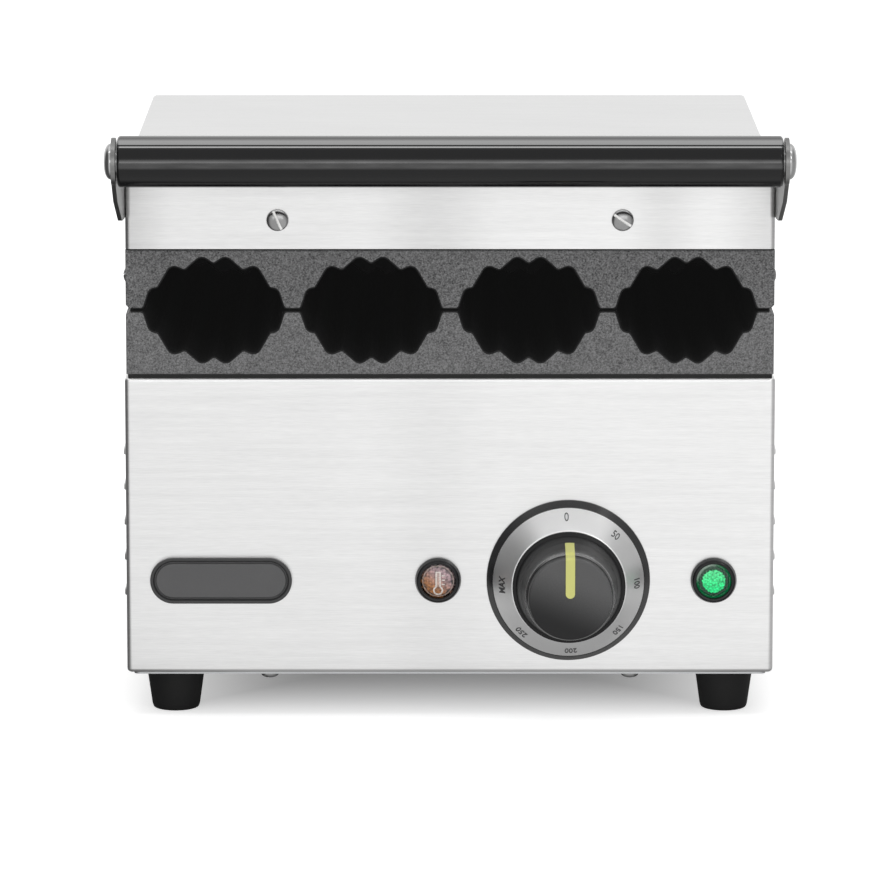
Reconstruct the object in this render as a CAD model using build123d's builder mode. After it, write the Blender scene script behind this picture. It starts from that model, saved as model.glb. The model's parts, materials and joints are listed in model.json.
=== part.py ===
"""Contact grill with four fluted channels: a steel cabinet, two cast plates and a hinged lid.

Millimetres, +Z up, the front faces -Y and +X is the viewer's right. The origin is the middle of
the footprint at the level of the table. The lid turns on a pin line behind the plates.
"""

import os
from math import asin, cos, radians, sin

from build123d import *

os.makedirs("parts", exist_ok=True)

# Cabinet
BODY_WIDTH = 290.0
BODY_DEPTH = 270.0
FRONT_Y = -125.0
BACK_Y = FRONT_Y + BODY_DEPTH
MID_Y = (FRONT_Y + BACK_Y) / 2
BODY_BOTTOM = 20.4
BODY_TOP = 154.6
SHEET = 1.2
BEND = 2.5
FLANGE = 14.0
HALF_WIDTH = BODY_WIDTH / 2
PANEL_BACK_Y = FRONT_Y + SHEET
SHELL_BACK_Y = BACK_Y - SHEET

# Grill plates
GASKET = 1.6
PLATE_BOTTOM = BODY_TOP + GASKET
SPLIT_Z = 185.2
SPLIT_GAP = 0.5
PLATE_TOP = 212.7
PLATE_HALF_WIDTH = 144.2
PLATE_CORNER = 2.0
CHANNEL_PITCH = 70.0
CHANNEL_LENGTH = 258.0
CHANNEL_X = [CHANNEL_PITCH * (i - 1.5) for i in range(4)]
RIDGE_X = [CHANNEL_PITCH * (i - 1) for i in range(3)]
# Right half of one channel, from its middle out to the split: lobes and the dips between them
FLUTES = [(0.0, 20.3), (5.0, 23.6), (12.9, 16.6), (18.4, 19.4), (23.9, 10.2), (28.2, 9.0), (32.64, -1.0)]
LOBE_RADIUS = 1.6
LAND_RADIUS = 1.2
OUTER_LAND = PLATE_HALF_WIDTH - 0.1
CLAMP_Y = [-60.0, 70.0]

# Heating elements
ROD_RADIUS = 4.0
ROD_LAP = 0.05
RUN_FRONT_Y = -66.0
RUN_BACK_Y = 78.0
COLD_END_Y = 116.0
CLAMP_THICK = 2.0
CLAMP_WIDTH = 14.0
CLAMP_LENGTH = 236.0
CLAMP_SCREW_HEAD = 3.2

# Lid
LID_TOP = 248.6
LID_HALF_WIDTH = PLATE_HALF_WIDTH
LID_EDGE = 2.0
LID_SCREW_X = 76.5
LID_SCREW_Z = 225.7
SIDE_SCREW_Y = -85.0
SIDE_SCREW_Z = 195.0

# Handle
BAR_Y = -159.5
BAR_Z = 256.4
BAR_RADIUS = 11.3
BAR_HALF = 145.2
BAR_EDGE = 1.5
BAR_BORE = 6.0
BRACKET_THICK = 2.0
BRACKET_JOGGLE = 1.7
BRACKET_END = 10.5
HANDLE_BOLT_HEAD = 8.0
HANDLE_BOLT_DOME = 3.7
HANDLE_BOLT_SHANK = 4.0
BRACKET_SCREW_Y = [-108.0, -88.0]
BRACKET_SCREW_Z = 234.0

# Hinge
HINGE_Y = 157.0
HINGE_Z = SPLIT_Z
HINGE_X = [-95.0, 95.0]
PIN_RADIUS = 4.0
PIN_PLAY = 0.05
EAR_RADIUS = 10.0
EAR_THICK = 3.0
EAR_INNER = 17.0
KNUCKLE_RADIUS = 9.0
KNUCKLE_HALF = 16.5
ARM_THICK = 4.0
ARM_TOP = 240.0
HINGE_SCREW_Z = [122.0, 134.0]
ARM_SCREW_Z = [203.0, 230.0]
HINGE_SCREW_X = 10.0

# Controls on the front panel
CONTROL_Z = 62.9
DIAL_X = 53.0
POWER_LAMP_X = 118.1
HEAT_LAMP_X = -5.3
NAME_PLATE_X = -102.5
NAME_PLATE_LENGTH = 63.5
NAME_PLATE_HEIGHT = 20.9
NAME_PLATE_THICK = 1.8
NAME_PLATE_RIM = 1.7
SPINDLE_RADIUS = 3.0
SPINDLE_PLAY = 0.05
BUSH_RADIUS = 5.0
THERMOSTAT_SCREW_X = 14.0
LAMP_RADIUS = 10.3
LAMP_NECK = 7.9
LAMP_BORE = 7.2
KNOB_DEPTH = 43.0
POINTER_WIDTH = 4.3
POINTER_PROUD = 0.5

# Feet and fasteners
FOOT_X = 124.0
FOOT_Y = [-103.0, 123.0]
FOOT_TOP = BODY_BOTTOM - SHEET
FOOT_TOP_RADIUS = 12.7
FOOT_BOTTOM_RADIUS = 10.7
FOOT_BORE = 5.0
M4 = 2.0
M5 = 2.5
M4_HEAD = 3.9
M5_HEAD = 4.9
M5_HEAD_HEIGHT = 2.8
M4_NUT = 7.0
M5_NUT = 8.0
PANEL_SCREW_REACH = 7.0

# Cable inlet and lid hose
GLAND_X = -95.0
GLAND_Z = 48.0
GLAND_TIP_Y = -(BAR_Y - BAR_RADIUS)
GLAND_THREAD = 8.0
CABLE_BORE = 4.0
HOSE_LOW_Z = 126.0
HOSE_HIGH_Z = 229.0
HOSE_RADIUS = 5.6
HOSE_GROOVE = 4.9
HOSE_BORE = 4.0
ELBOW_RADIUS = 7.5
ELBOW_RISE = 13.0
HOSE_RIBS = 22

# Louvres pressed out of the side walls
LOUVRE_Z = [115.4, 99.2, 83.0, 66.8, 50.6]
LOUVRE_SPANS = [(-95.0, 0.0), (20.0, 115.0)]
LOUVRE_PROUD = 2.9
LOUVRE_HEIGHT = 9.0


def save(piece, name):
    """Label a finished piece and write its STEP file."""
    piece.part.label = name
    export_step(piece.part, f"parts/{name}.step")


def upright(y):
    """Plane square to the depth at y: local x is X, local y is Z, and its normal points forwards."""
    return Plane.XZ.offset(-y)


def turning_plane(x, z, y=FRONT_Y):
    """Plane through an axis that runs forwards from (x, y, z): local x is radius, local y is forwards."""
    return Plane(origin=(x, y, z), x_dir=(1, 0, 0), z_dir=(0, 0, -1))


def forward_axis(x, z, y=FRONT_Y):
    """Axis that runs forwards from (x, y, z)."""
    return Axis((x, y, z), (0, -1, 0))


def turned(points, x, z, y=FRONT_Y):
    """Piece revolved about a forward axis from a closed outline of (radius, forwards) points."""
    with BuildPart() as piece:
        with BuildSketch(turning_plane(x, z, y)):
            with BuildLine():
                Polyline(*points, close=True)
            make_face()
        revolve(axis=forward_axis(x, z, y))
    return piece


def pan_screws(places, head, shank, reach, height=2.4):
    """Slotted pan-head screws; each place is a plane whose normal leaves the surface under the head."""
    with BuildPart() as screws:
        for place in places:
            with BuildSketch(place):
                Circle(head)
            extrude(amount=height * 0.45)
            with BuildSketch(place.offset(height * 0.45)):
                Circle(head)
            extrude(amount=height * 0.55, taper=35)
            with BuildSketch(place.offset(height * 0.5)):
                Rectangle(head * 2, head * 0.22)
            extrude(amount=height, mode=Mode.SUBTRACT)
            with BuildSketch(place):
                Circle(shank)
            extrude(amount=-reach)
    return screws


def hex_screws(places, across, shank, reach, height):
    """Hexagon-head screws; each place is a plane whose normal leaves the surface under the head."""
    with BuildPart() as screws:
        for place in places:
            with BuildSketch(place):
                RegularPolygon(across / 2, 6, major_radius=False)
            extrude(amount=height)
            with BuildSketch(place):
                Circle(shank)
            extrude(amount=-reach)
    return screws


def hex_nuts(places, across, bore, height):
    """Hexagon nuts that stand on their places."""
    with BuildPart() as nuts:
        for place in places:
            with BuildSketch(place):
                RegularPolygon(across / 2, 6, major_radius=False)
                Circle(bore, mode=Mode.SUBTRACT)
            extrude(amount=height)
    return nuts


def grouped(*fastener_sets):
    """Several sets of fasteners as the separate solids of one node."""
    with BuildPart() as group:
        for fasteners in fastener_sets:
            add(fasteners.part)
    return group


def plane_at(x, y, z, normal):
    """Plane at a point with the given normal and a level local x."""
    x_dir = (0, 1, 0) if abs(normal[0]) > 0.5 else (1, 0, 0)
    return Plane(origin=(x, y, z), x_dir=x_dir, z_dir=normal)


# Cabinet: front, sides, bottom return and top return from one sheet
FOOT_PLACES = [(x, y) for x in (-FOOT_X, FOOT_X) for y in FOOT_Y]
PLATE_BOLT_PLACES = [(x, y) for x in (-137.0, 137.0) for y in (-70.0, 90.0)]
BASE_SCREW_PLACES = [(-81.0, -118.0), (81.0, -118.0), (-81.0, 136.0), (81.0, 136.0)]
BACK_SCREW_PLACES = [(x, z) for x in (-137.5, 137.5) for z in (34.0, 141.0)]

with BuildPart() as body_shell:
    with BuildSketch(Plane.XY.offset(BODY_BOTTOM)):
        with Locations((0, (FRONT_Y + SHELL_BACK_Y) / 2)):
            Rectangle(BODY_WIDTH, SHELL_BACK_Y - FRONT_Y)
    extrude(amount=BODY_TOP - BODY_BOTTOM)
    fillet(body_shell.edges().filter_by(Axis.Z).group_by(Axis.Y)[0], BEND)
    fillet(body_shell.faces().sort_by(Axis.Z)[0].edges().sort_by(Axis.Y)[:5], SHEET)
    with BuildSketch(Plane.XY.offset(BODY_BOTTOM + SHEET)):
        with Locations((0, (FRONT_Y + SHELL_BACK_Y) / 2)):
            Rectangle(BODY_WIDTH - 2 * SHEET, SHELL_BACK_Y - FRONT_Y - 2 * SHEET)
    extrude(amount=BODY_TOP - BODY_BOTTOM - 2 * SHEET, mode=Mode.SUBTRACT)
    with BuildSketch(Plane.XY.offset(BODY_BOTTOM - SHEET)):
        with Locations((0, (FRONT_Y + SHELL_BACK_Y) / 2)):
            Rectangle(BODY_WIDTH - 2 * FLANGE, SHELL_BACK_Y - FRONT_Y - 2 * FLANGE)
    extrude(amount=BODY_TOP - BODY_BOTTOM + 2 * SHEET, mode=Mode.SUBTRACT)
    with BuildSketch(upright(SHELL_BACK_Y + SHEET)):
        with Locations((0, (BODY_BOTTOM + BODY_TOP) / 2)):
            Rectangle(BODY_WIDTH - 2 * FLANGE, BODY_TOP - BODY_BOTTOM - 2 * FLANGE)
    extrude(amount=3 * SHEET, mode=Mode.SUBTRACT)
    with BuildSketch(upright(FRONT_Y - SHEET)):
        with Locations((DIAL_X, CONTROL_Z)):
            Circle(BUSH_RADIUS)
        with Locations(*[(DIAL_X + dx, CONTROL_Z) for dx in (-THERMOSTAT_SCREW_X, THERMOSTAT_SCREW_X)]):
            Circle(M4)
        with Locations((POWER_LAMP_X, CONTROL_Z), (HEAT_LAMP_X, CONTROL_Z)):
            Circle(LAMP_NECK)
    extrude(amount=-3 * SHEET, mode=Mode.SUBTRACT)
    with BuildSketch(Plane.XY.offset(BODY_TOP + SHEET)):
        with Locations(*PLATE_BOLT_PLACES):
            Circle(M5)
    extrude(amount=-3 * SHEET, mode=Mode.SUBTRACT)
    with BuildSketch(Plane.XY.offset(BODY_BOTTOM - SHEET)):
        with Locations(*BASE_SCREW_PLACES):
            Circle(M4)
    extrude(amount=3 * SHEET, mode=Mode.SUBTRACT)
    with BuildSketch(upright(SHELL_BACK_Y + SHEET)):
        with Locations(*BACK_SCREW_PLACES):
            Circle(M4)
    extrude(amount=3 * SHEET, mode=Mode.SUBTRACT)
    for side in (-1, 1):
        wall = Plane(origin=(side * HALF_WIDTH, 0, 0), x_dir=(0, side, 0), z_dir=(side, 0, 0))
        for z in LOUVRE_Z:
            for y0, y1 in LOUVRE_SPANS:
                middle, length = side * (y0 + y1) / 2, y1 - y0
                with BuildSketch(wall.offset(-0.4)):
                    with Locations((middle, z)):
                        Rectangle(length, LOUVRE_HEIGHT, align=(Align.CENTER, Align.MIN))
                with BuildSketch(wall.offset(LOUVRE_PROUD)):
                    with Locations((middle, z)):
                        Rectangle(length - 8, 2.6, align=(Align.CENTER, Align.MIN))
                loft()
                with BuildSketch(wall.offset(-2 * SHEET)):
                    with Locations((middle, z - 0.5)):
                        Rectangle(length - 2.0, LOUVRE_HEIGHT - 0.4, align=(Align.CENTER, Align.MIN))
                with BuildSketch(wall.offset(LOUVRE_PROUD - 1.0)):
                    with Locations((middle, z - 0.5)):
                        Rectangle(length - 9.6, 2.4, align=(Align.CENTER, Align.MIN))
                loft(mode=Mode.SUBTRACT)
save(body_shell, "body_shell")

with BuildPart() as bottom_plate:
    with BuildSketch(Plane.XY.offset(BODY_BOTTOM - SHEET)):
        with Locations((0, MID_Y)):
            RectangleRounded(BODY_WIDTH - 6, BODY_DEPTH - 6, BEND)
        with Locations(*FOOT_PLACES):
            Circle(M5, mode=Mode.SUBTRACT)
        with Locations(*BASE_SCREW_PLACES):
            Circle(M4, mode=Mode.SUBTRACT)
        with Locations((0, MID_Y)):
            with GridLocations(24, 64, 7, 2):
                SlotOverall(44, 5, rotation=90, mode=Mode.SUBTRACT)
    extrude(amount=SHEET)
save(bottom_plate, "bottom_plate")

HINGE_HOLES = [(x + dx, z) for x in HINGE_X for dx in (-HINGE_SCREW_X, HINGE_SCREW_X) for z in HINGE_SCREW_Z]

with BuildPart() as back_panel:
    with BuildSketch(upright(BACK_Y)):
        with Locations((0, (BODY_BOTTOM + BODY_TOP) / 2)):
            RectangleRounded(BODY_WIDTH, BODY_TOP - BODY_BOTTOM, SHEET)
        with Locations((GLAND_X, GLAND_Z)):
            Circle(GLAND_THREAD, mode=Mode.SUBTRACT)
        with Locations((0, HOSE_LOW_Z)):
            Circle(HOSE_BORE + 1, mode=Mode.SUBTRACT)
        with Locations(*BACK_SCREW_PLACES):
            Circle(M4, mode=Mode.SUBTRACT)
        with Locations(*HINGE_HOLES):
            Circle(M4, mode=Mode.SUBTRACT)
        with Locations((20, 82)):
            with GridLocations(12, 36, 12, 2):
                SlotOverall(26, 4, rotation=90, mode=Mode.SUBTRACT)
    extrude(amount=SHEET)
save(back_panel, "back_panel")

# Rubber feet and the screws that hold them
for row, y in zip(("front", "rear"), FOOT_Y):
    for hand, x in (("left", -FOOT_X), ("right", FOOT_X)):
        with BuildPart() as foot:
            with BuildSketch(Plane(origin=(x, y, 0), x_dir=(1, 0, 0), z_dir=(0, -1, 0))):
                with BuildLine():
                    Polyline(
                        (FOOT_BORE, 0),
                        (FOOT_BOTTOM_RADIUS - 2, 0),
                        (FOOT_BOTTOM_RADIUS - 0.6, 0.6),
                        (FOOT_BOTTOM_RADIUS, 2),
                        (FOOT_TOP_RADIUS, FOOT_TOP),
                        (M5, FOOT_TOP),
                        (M5, 9.0),
                        (FOOT_BORE, 9.0),
                        close=True,
                    )
                make_face()
            revolve(axis=Axis((x, y, 0), (0, 0, 1)))
        save(foot, f"foot_{row}_{hand}")

foot_screws = pan_screws([plane_at(x, y, 9.0, (0, 0, -1)) for x, y in FOOT_PLACES], 4.6, M5, 18)
save(foot_screws, "foot_screws")

# Lower plate with its seal and bolts
def plate_section(plane, low, high, sign, channels):
    """Cross-section of a grill plate: a bar with fluted channels in the face at the split."""
    with BuildSketch(plane) as section:
        with Locations((0, (low + high) / 2)):
            Rectangle(2 * PLATE_HALF_WIDTH, high - low)
        for x in channels:
            right = [(x + px, SPLIT_Z + sign * pz) for px, pz in FLUTES]
            left = [(x - px, SPLIT_Z + sign * pz) for px, pz in FLUTES[:0:-1]]
            with BuildLine():
                Polyline(*left, *right, close=True)
            make_face(mode=Mode.SUBTRACT)
        face_z = low if sign > 0 else high
        if channels:
            fillet([v for v in section.vertices() if low + 0.01 < v.Y < high - 0.01], LOBE_RADIUS)
            fillet([v for v in section.vertices() if abs(v.Y - face_z) < 0.01 and abs(v.X) < OUTER_LAND],
                   LAND_RADIUS)
        chamfer([v for v in section.vertices() if abs(v.Y - face_z) < 0.01 and abs(v.X) > OUTER_LAND],
                PLATE_CORNER)
    return section


def cast_plate(low, high, sign):
    """Cast plate: the channel section, a closed back wall and threaded holes for the element's clamps."""
    outer_z = high if sign > 0 else low
    section = plate_section(upright(FRONT_Y), low, high, sign, CHANNEL_X)
    back_wall = plate_section(upright(FRONT_Y + CHANNEL_LENGTH), low, high, sign, [])
    with BuildPart() as plate:
        extrude(section.sketch, amount=CHANNEL_LENGTH, dir=(0, 1, 0))
        extrude(back_wall.sketch, amount=BODY_DEPTH - CHANNEL_LENGTH, dir=(0, 1, 0))
        with BuildSketch(Plane.XY.offset(low)):
            with Locations((0, MID_Y)):
                RectangleRounded(2 * PLATE_HALF_WIDTH, BODY_DEPTH, PLATE_CORNER)
        extrude(amount=high - low, mode=Mode.INTERSECT)
        with BuildSketch(Plane.XY.offset(outer_z)):
            with Locations(*[(x, y) for x in RIDGE_X for y in CLAMP_Y]):
                Circle(M5)
        extrude(amount=-sign * 10, mode=Mode.SUBTRACT)
    return plate


lower_casting = cast_plate(PLATE_BOTTOM, SPLIT_Z - SPLIT_GAP / 2, -1)
with BuildPart() as lower_grill_plate:
    add(lower_casting.part)
    with BuildSketch(Plane.XY.offset(PLATE_BOTTOM)):
        with Locations(*PLATE_BOLT_PLACES):
            Circle(M5)
    extrude(amount=11, mode=Mode.SUBTRACT)
save(lower_grill_plate, "lower_grill_plate")

with BuildPart() as plate_gasket:
    with BuildSketch(Plane.XY.offset(BODY_TOP)):
        with Locations((0, MID_Y)):
            Rectangle(BODY_WIDTH - 3, BODY_DEPTH - 3)
            Rectangle(BODY_WIDTH - 2 * FLANGE, BODY_DEPTH - 2 * FLANGE, mode=Mode.SUBTRACT)
        with Locations(*PLATE_BOLT_PLACES):
            Circle(M5, mode=Mode.SUBTRACT)
    extrude(amount=GASKET)
save(plate_gasket, "plate_gasket")


def heating_element(z):
    """Tubular element: four runs joined by half turns, with its cold ends towards the back."""
    outer, inner, turn = 1.5 * CHANNEL_PITCH, 0.5 * CHANNEL_PITCH, CHANNEL_PITCH / 2
    with BuildPart() as element:
        with BuildLine(Plane.XY.offset(z)) as path:
            Line((-outer, COLD_END_Y), (-outer, RUN_FRONT_Y))
            ThreePointArc((-outer, RUN_FRONT_Y), (-CHANNEL_PITCH, RUN_FRONT_Y - turn), (-inner, RUN_FRONT_Y))
            Line((-inner, RUN_FRONT_Y), (-inner, RUN_BACK_Y))
            ThreePointArc((-inner, RUN_BACK_Y), (0, RUN_BACK_Y + turn), (inner, RUN_BACK_Y))
            Line((inner, RUN_BACK_Y), (inner, RUN_FRONT_Y))
            ThreePointArc((inner, RUN_FRONT_Y), (CHANNEL_PITCH, RUN_FRONT_Y - turn), (outer, RUN_FRONT_Y))
            Line((outer, RUN_FRONT_Y), (outer, COLD_END_Y))
        with BuildSketch(Plane(origin=(-outer, COLD_END_Y, z), x_dir=(1, 0, 0), z_dir=(0, -1, 0))):
            Circle(ROD_RADIUS)
        sweep(path=path.wires()[0])
        with BuildSketch(upright(COLD_END_Y)):
            with Locations((-outer, z), (outer, z)):
                Circle(1.6)
        extrude(amount=-5)
    return element


def clamp_bars(low):
    """Two steel bars across the element, drilled over the pads of the plate."""
    with BuildPart() as clamps:
        with BuildSketch(Plane.XY.offset(low)):
            with Locations(*[(0, y) for y in CLAMP_Y]):
                Rectangle(CLAMP_LENGTH, CLAMP_WIDTH)
            with Locations(*[(x, y) for x in RIDGE_X for y in CLAMP_Y]):
                Circle(M5, mode=Mode.SUBTRACT)
        extrude(amount=CLAMP_THICK)
    return clamps


LOWER_ROD_Z = PLATE_BOTTOM - ROD_RADIUS - ROD_LAP
LOWER_CLAMP_TOP = LOWER_ROD_Z - ROD_RADIUS - ROD_LAP
lower_heating_element = heating_element(LOWER_ROD_Z)
save(lower_heating_element, "lower_heating_element")

lower_element_clamps = clamp_bars(LOWER_CLAMP_TOP - CLAMP_THICK)
save(lower_element_clamps, "lower_element_clamps")

bolt_planes = [plane_at(x, y, BODY_TOP - SHEET, (0, 0, -1)) for x, y in PLATE_BOLT_PLACES]
lower_clamp_planes = [plane_at(x, y, LOWER_CLAMP_TOP - CLAMP_THICK, (0, 0, -1))
                      for x in RIDGE_X for y in CLAMP_Y]
CLAMP_SCREW_REACH = PLATE_BOTTOM - LOWER_CLAMP_TOP + CLAMP_THICK + 8
lower_plate_bolts = grouped(
    hex_screws(bolt_planes, M5_NUT, M5, SHEET + GASKET + 10, 3.5),
    hex_screws(lower_clamp_planes, M5_NUT, M5, CLAMP_SCREW_REACH, CLAMP_SCREW_HEAD),
)
save(lower_plate_bolts, "lower_plate_bolts")

# Tray under the element with its mineral board
TRAY_HALF = 130.0
TRAY_FRONT = -110.0
TRAY_BACK = 128.8
TRAY_BOTTOM = 120.0
TRAY_WALL = 1.0
TRAY_MID = (TRAY_FRONT + TRAY_BACK) / 2
BOARD_THICK = 12.0

with BuildPart() as lower_heat_shield:
    with BuildSketch(Plane.XY.offset(TRAY_BOTTOM)):
        with Locations((0, TRAY_MID)):
            Rectangle(2 * TRAY_HALF, TRAY_BACK - TRAY_FRONT)
    extrude(amount=BODY_TOP - TRAY_BOTTOM - SHEET)
    with BuildSketch(Plane.XY.offset(TRAY_BOTTOM + TRAY_WALL)):
        with Locations((0, TRAY_MID)):
            Rectangle(2 * (TRAY_HALF - TRAY_WALL), TRAY_BACK - TRAY_FRONT - 2 * TRAY_WALL)
    extrude(amount=BODY_TOP, mode=Mode.SUBTRACT)
    with BuildSketch(Plane.XY.offset(BODY_TOP - SHEET)):
        with Locations((0, TRAY_MID)):
            Rectangle(2 * TRAY_HALF + 4.0, TRAY_BACK - TRAY_FRONT)
            Rectangle(2 * (TRAY_HALF - TRAY_WALL), TRAY_BACK - TRAY_FRONT - 2 * TRAY_WALL, mode=Mode.SUBTRACT)
    extrude(amount=-TRAY_WALL)
save(lower_heat_shield, "lower_heat_shield")

with BuildPart() as lower_insulation_board:
    with BuildSketch(Plane.XY.offset(TRAY_BOTTOM + TRAY_WALL)):
        with Locations((0, TRAY_MID)):
            Rectangle(2 * (TRAY_HALF - TRAY_WALL) - 1, TRAY_BACK - TRAY_FRONT - 2 * TRAY_WALL - 1)
    extrude(amount=BOARD_THICK)
save(lower_insulation_board, "lower_insulation_board")

# Thermostat, spindle and dial
THERMOSTAT_BACK = -32.0
YOKE_THICK = 1.5
BUSH_FRONT = 4.0

with BuildPart() as thermostat_body:
    with BuildSketch(upright(PANEL_BACK_Y)):
        with Locations((DIAL_X, CONTROL_Z)):
            Rectangle(40, 14)
        with Locations(*[(DIAL_X + dx, CONTROL_Z) for dx in (-THERMOSTAT_SCREW_X, THERMOSTAT_SCREW_X)]):
            Circle(M4, mode=Mode.SUBTRACT)
    extrude(amount=-YOKE_THICK)
    with BuildSketch(upright(PANEL_BACK_Y + YOKE_THICK + 2.5)):
        with Locations((DIAL_X, CONTROL_Z)):
            RectangleRounded(36, 38, 3)
    extrude(amount=-26)
    with BuildSketch(upright(PANEL_BACK_Y)):
        with Locations((DIAL_X, CONTROL_Z)):
            Rectangle(16, 12)
    extrude(amount=-(YOKE_THICK + 3))
    with BuildSketch(upright(PANEL_BACK_Y + YOKE_THICK)):
        with Locations((DIAL_X, CONTROL_Z)):
            Circle(BUSH_RADIUS)
    extrude(amount=YOKE_THICK + SHEET + BUSH_FRONT)
    with BuildSketch(upright(PANEL_BACK_Y + 30)):
        with Locations(*[(DIAL_X + dx, CONTROL_Z + dz) for dx in (-9, 9) for dz in (-10, 10)]):
            Rectangle(6.3, 0.8)
    extrude(amount=-8)
    with BuildSketch(upright(FRONT_Y - BUSH_FRONT)):
        with Locations((DIAL_X, CONTROL_Z)):
            Circle(SPINDLE_RADIUS + SPINDLE_PLAY)
    extrude(amount=-(BUSH_FRONT + SHEET + 14), mode=Mode.SUBTRACT)
save(thermostat_body, "thermostat_body")

thermostat_screw_planes = [plane_at(DIAL_X + dx, FRONT_Y, CONTROL_Z, (0, -1, 0))
                           for dx in (-THERMOSTAT_SCREW_X, THERMOSTAT_SCREW_X)]
thermostat_screws = pan_screws(thermostat_screw_planes, 3.4, M4, SHEET + YOKE_THICK, 2.0)
save(thermostat_screws, "thermostat_screws")

# Capillary tube from the thermostat up to the sensing bulb under the lower plate
CAPILLARY_RADIUS = 1.0
BULB_RADIUS = 3.0
with BuildPart() as thermostat_capillary:
    with BuildLine() as capillary_path:
        FilletPolyline(
            (DIAL_X, PANEL_BACK_Y + 30, CONTROL_Z + 16),
            (DIAL_X, -70, CONTROL_Z + 16),
            (DIAL_X - 6, -40, 104),
            (17.5, -30, 112),
            (17.5, 30, 112),
            radius=10,
        )
    with BuildSketch(upright(PANEL_BACK_Y + 30)):
        with Locations((DIAL_X, CONTROL_Z + 16)):
            Circle(CAPILLARY_RADIUS)
    sweep(path=capillary_path.wires()[0])
    with BuildSketch(upright(30)):
        with Locations((17.5, 112)):
            Circle(BULB_RADIUS)
    extrude(amount=-70)
save(thermostat_capillary, "thermostat_capillary")

dial_bezel = turned(
    [(20.0, 0), (36.6, 0), (36.6, 0.8), (34.0, 4.7), (31.6, 4.7), (31.6, 3.0), (20.0, 3.0)],
    DIAL_X, CONTROL_Z,
)
save(dial_bezel, "dial_bezel")

dial_ring = turned(
    [(31.9, 4.7), (33.9, 4.7), (25.6, 15.1), (24.9, 15.4), (24.2, 15.0), (24.2, 13.9)],
    DIAL_X, CONTROL_Z,
)
save(dial_ring, "dial_ring")

# Knob outline from the middle of its face out to the rim: (radius, height over the panel)
KNOB_FACE = [(0, KNOB_DEPTH), (17.6, KNOB_DEPTH), (18.5, 42.2), (18.8, 38.4)]
KNOB_FLARE = [(19.7, 37.4), (20.4, 31.0), (21.6, 24.0), (23.6, 18.0)]
KNOB_RIM = [(25.1, 17.3), (25.25, 15.9)]
KNOB_INSIDE = [(23.4, 15.9), (17.4, 36.0), (6.5, 36.0), (6.5, 7.0), (0, 7.0)]

knob_solid = turned(KNOB_FACE + KNOB_FLARE + KNOB_RIM + KNOB_INSIDE, DIAL_X, CONTROL_Z)
with BuildPart() as control_knob:
    add(knob_solid.part)
    with BuildSketch(upright(FRONT_Y - 7.0)):
        with Locations((DIAL_X, CONTROL_Z)):
            Circle(SPINDLE_RADIUS)
    extrude(amount=24, mode=Mode.SUBTRACT)
save(control_knob, "control_knob")

with BuildPart() as thermostat_spindle:
    with BuildSketch(upright(FRONT_Y - 31.0)):
        with Locations((DIAL_X, CONTROL_Z)):
            Circle(SPINDLE_RADIUS)
    extrude(amount=-(31.0 + 13.0))
save(thermostat_spindle, "thermostat_spindle")

POINTER_TOP = [(0, KNOB_DEPTH + POINTER_PROUD), (17.9, KNOB_DEPTH + POINTER_PROUD), (19.0, 42.5), (19.2, 38.7),
               (20.1, 37.7), (20.9, 31.1), (22.1, 24.2), (23.8, 19.0)]
POINTER_UNDER = [(23.2, 19.2), (21.6, 24.0), (20.4, 31.0), (19.7, 37.4), (18.8, 38.4), (18.5, 42.2),
                 (17.6, KNOB_DEPTH), (0, KNOB_DEPTH)]
pointer_band = turned(POINTER_TOP + POINTER_UNDER, DIAL_X, CONTROL_Z)
with BuildPart() as knob_pointer:
    with BuildSketch(upright(FRONT_Y)):
        with Locations((DIAL_X, CONTROL_Z)):
            Circle(POINTER_WIDTH / 2)
            Rectangle(POINTER_WIDTH, 30, align=(Align.CENTER, Align.MIN))
    extrude(amount=KNOB_DEPTH + 5)
    add(pointer_band.part, mode=Mode.INTERSECT)
save(knob_pointer, "knob_pointer")

# Signal lamps
BEZEL_OUTLINE = [(LAMP_BORE, -14), (LAMP_NECK, -14), (LAMP_NECK, 0), (LAMP_RADIUS, 0), (LAMP_RADIUS, 1.2),
                 (LAMP_RADIUS - 0.35, 2.6), (LAMP_RADIUS - 1.1, 3.8), (LAMP_RADIUS - 2.1, 4.4),
                 (LAMP_BORE + 0.4, 4.2), (LAMP_BORE, 3.4)]
LENS_OUTLINE = [(0, -3), (LAMP_BORE - 0.02, -3), (LAMP_BORE - 0.02, 1.5), (6.4, 2.1), (4.5, 2.6), (2.2, 2.9),
                (0, 3.0)]
for lamp, x in (("power_lamp", POWER_LAMP_X), ("heat_lamp", HEAT_LAMP_X)):
    save(turned(BEZEL_OUTLINE, x, CONTROL_Z), f"{lamp}_bezel")
    save(turned(LENS_OUTLINE, x, CONTROL_Z), f"{lamp}_lens")

LAMP_X = [HEAT_LAMP_X, POWER_LAMP_X]
TAG_X = [x + dx for x in LAMP_X for dx in (-3.5, 3.5)]
with BuildPart() as lamp_bodies:
    with BuildSketch(upright(FRONT_Y + 3)):
        with Locations(*[(x, CONTROL_Z) for x in LAMP_X]):
            Circle(LAMP_BORE - 0.02)
    extrude(amount=-25)
    with BuildSketch(upright(FRONT_Y + 28)):
        with Locations(*[(x, CONTROL_Z) for x in TAG_X]):
            Rectangle(0.8, 4.8)
    extrude(amount=-8)
save(lamp_bodies, "lamp_bodies")

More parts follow.
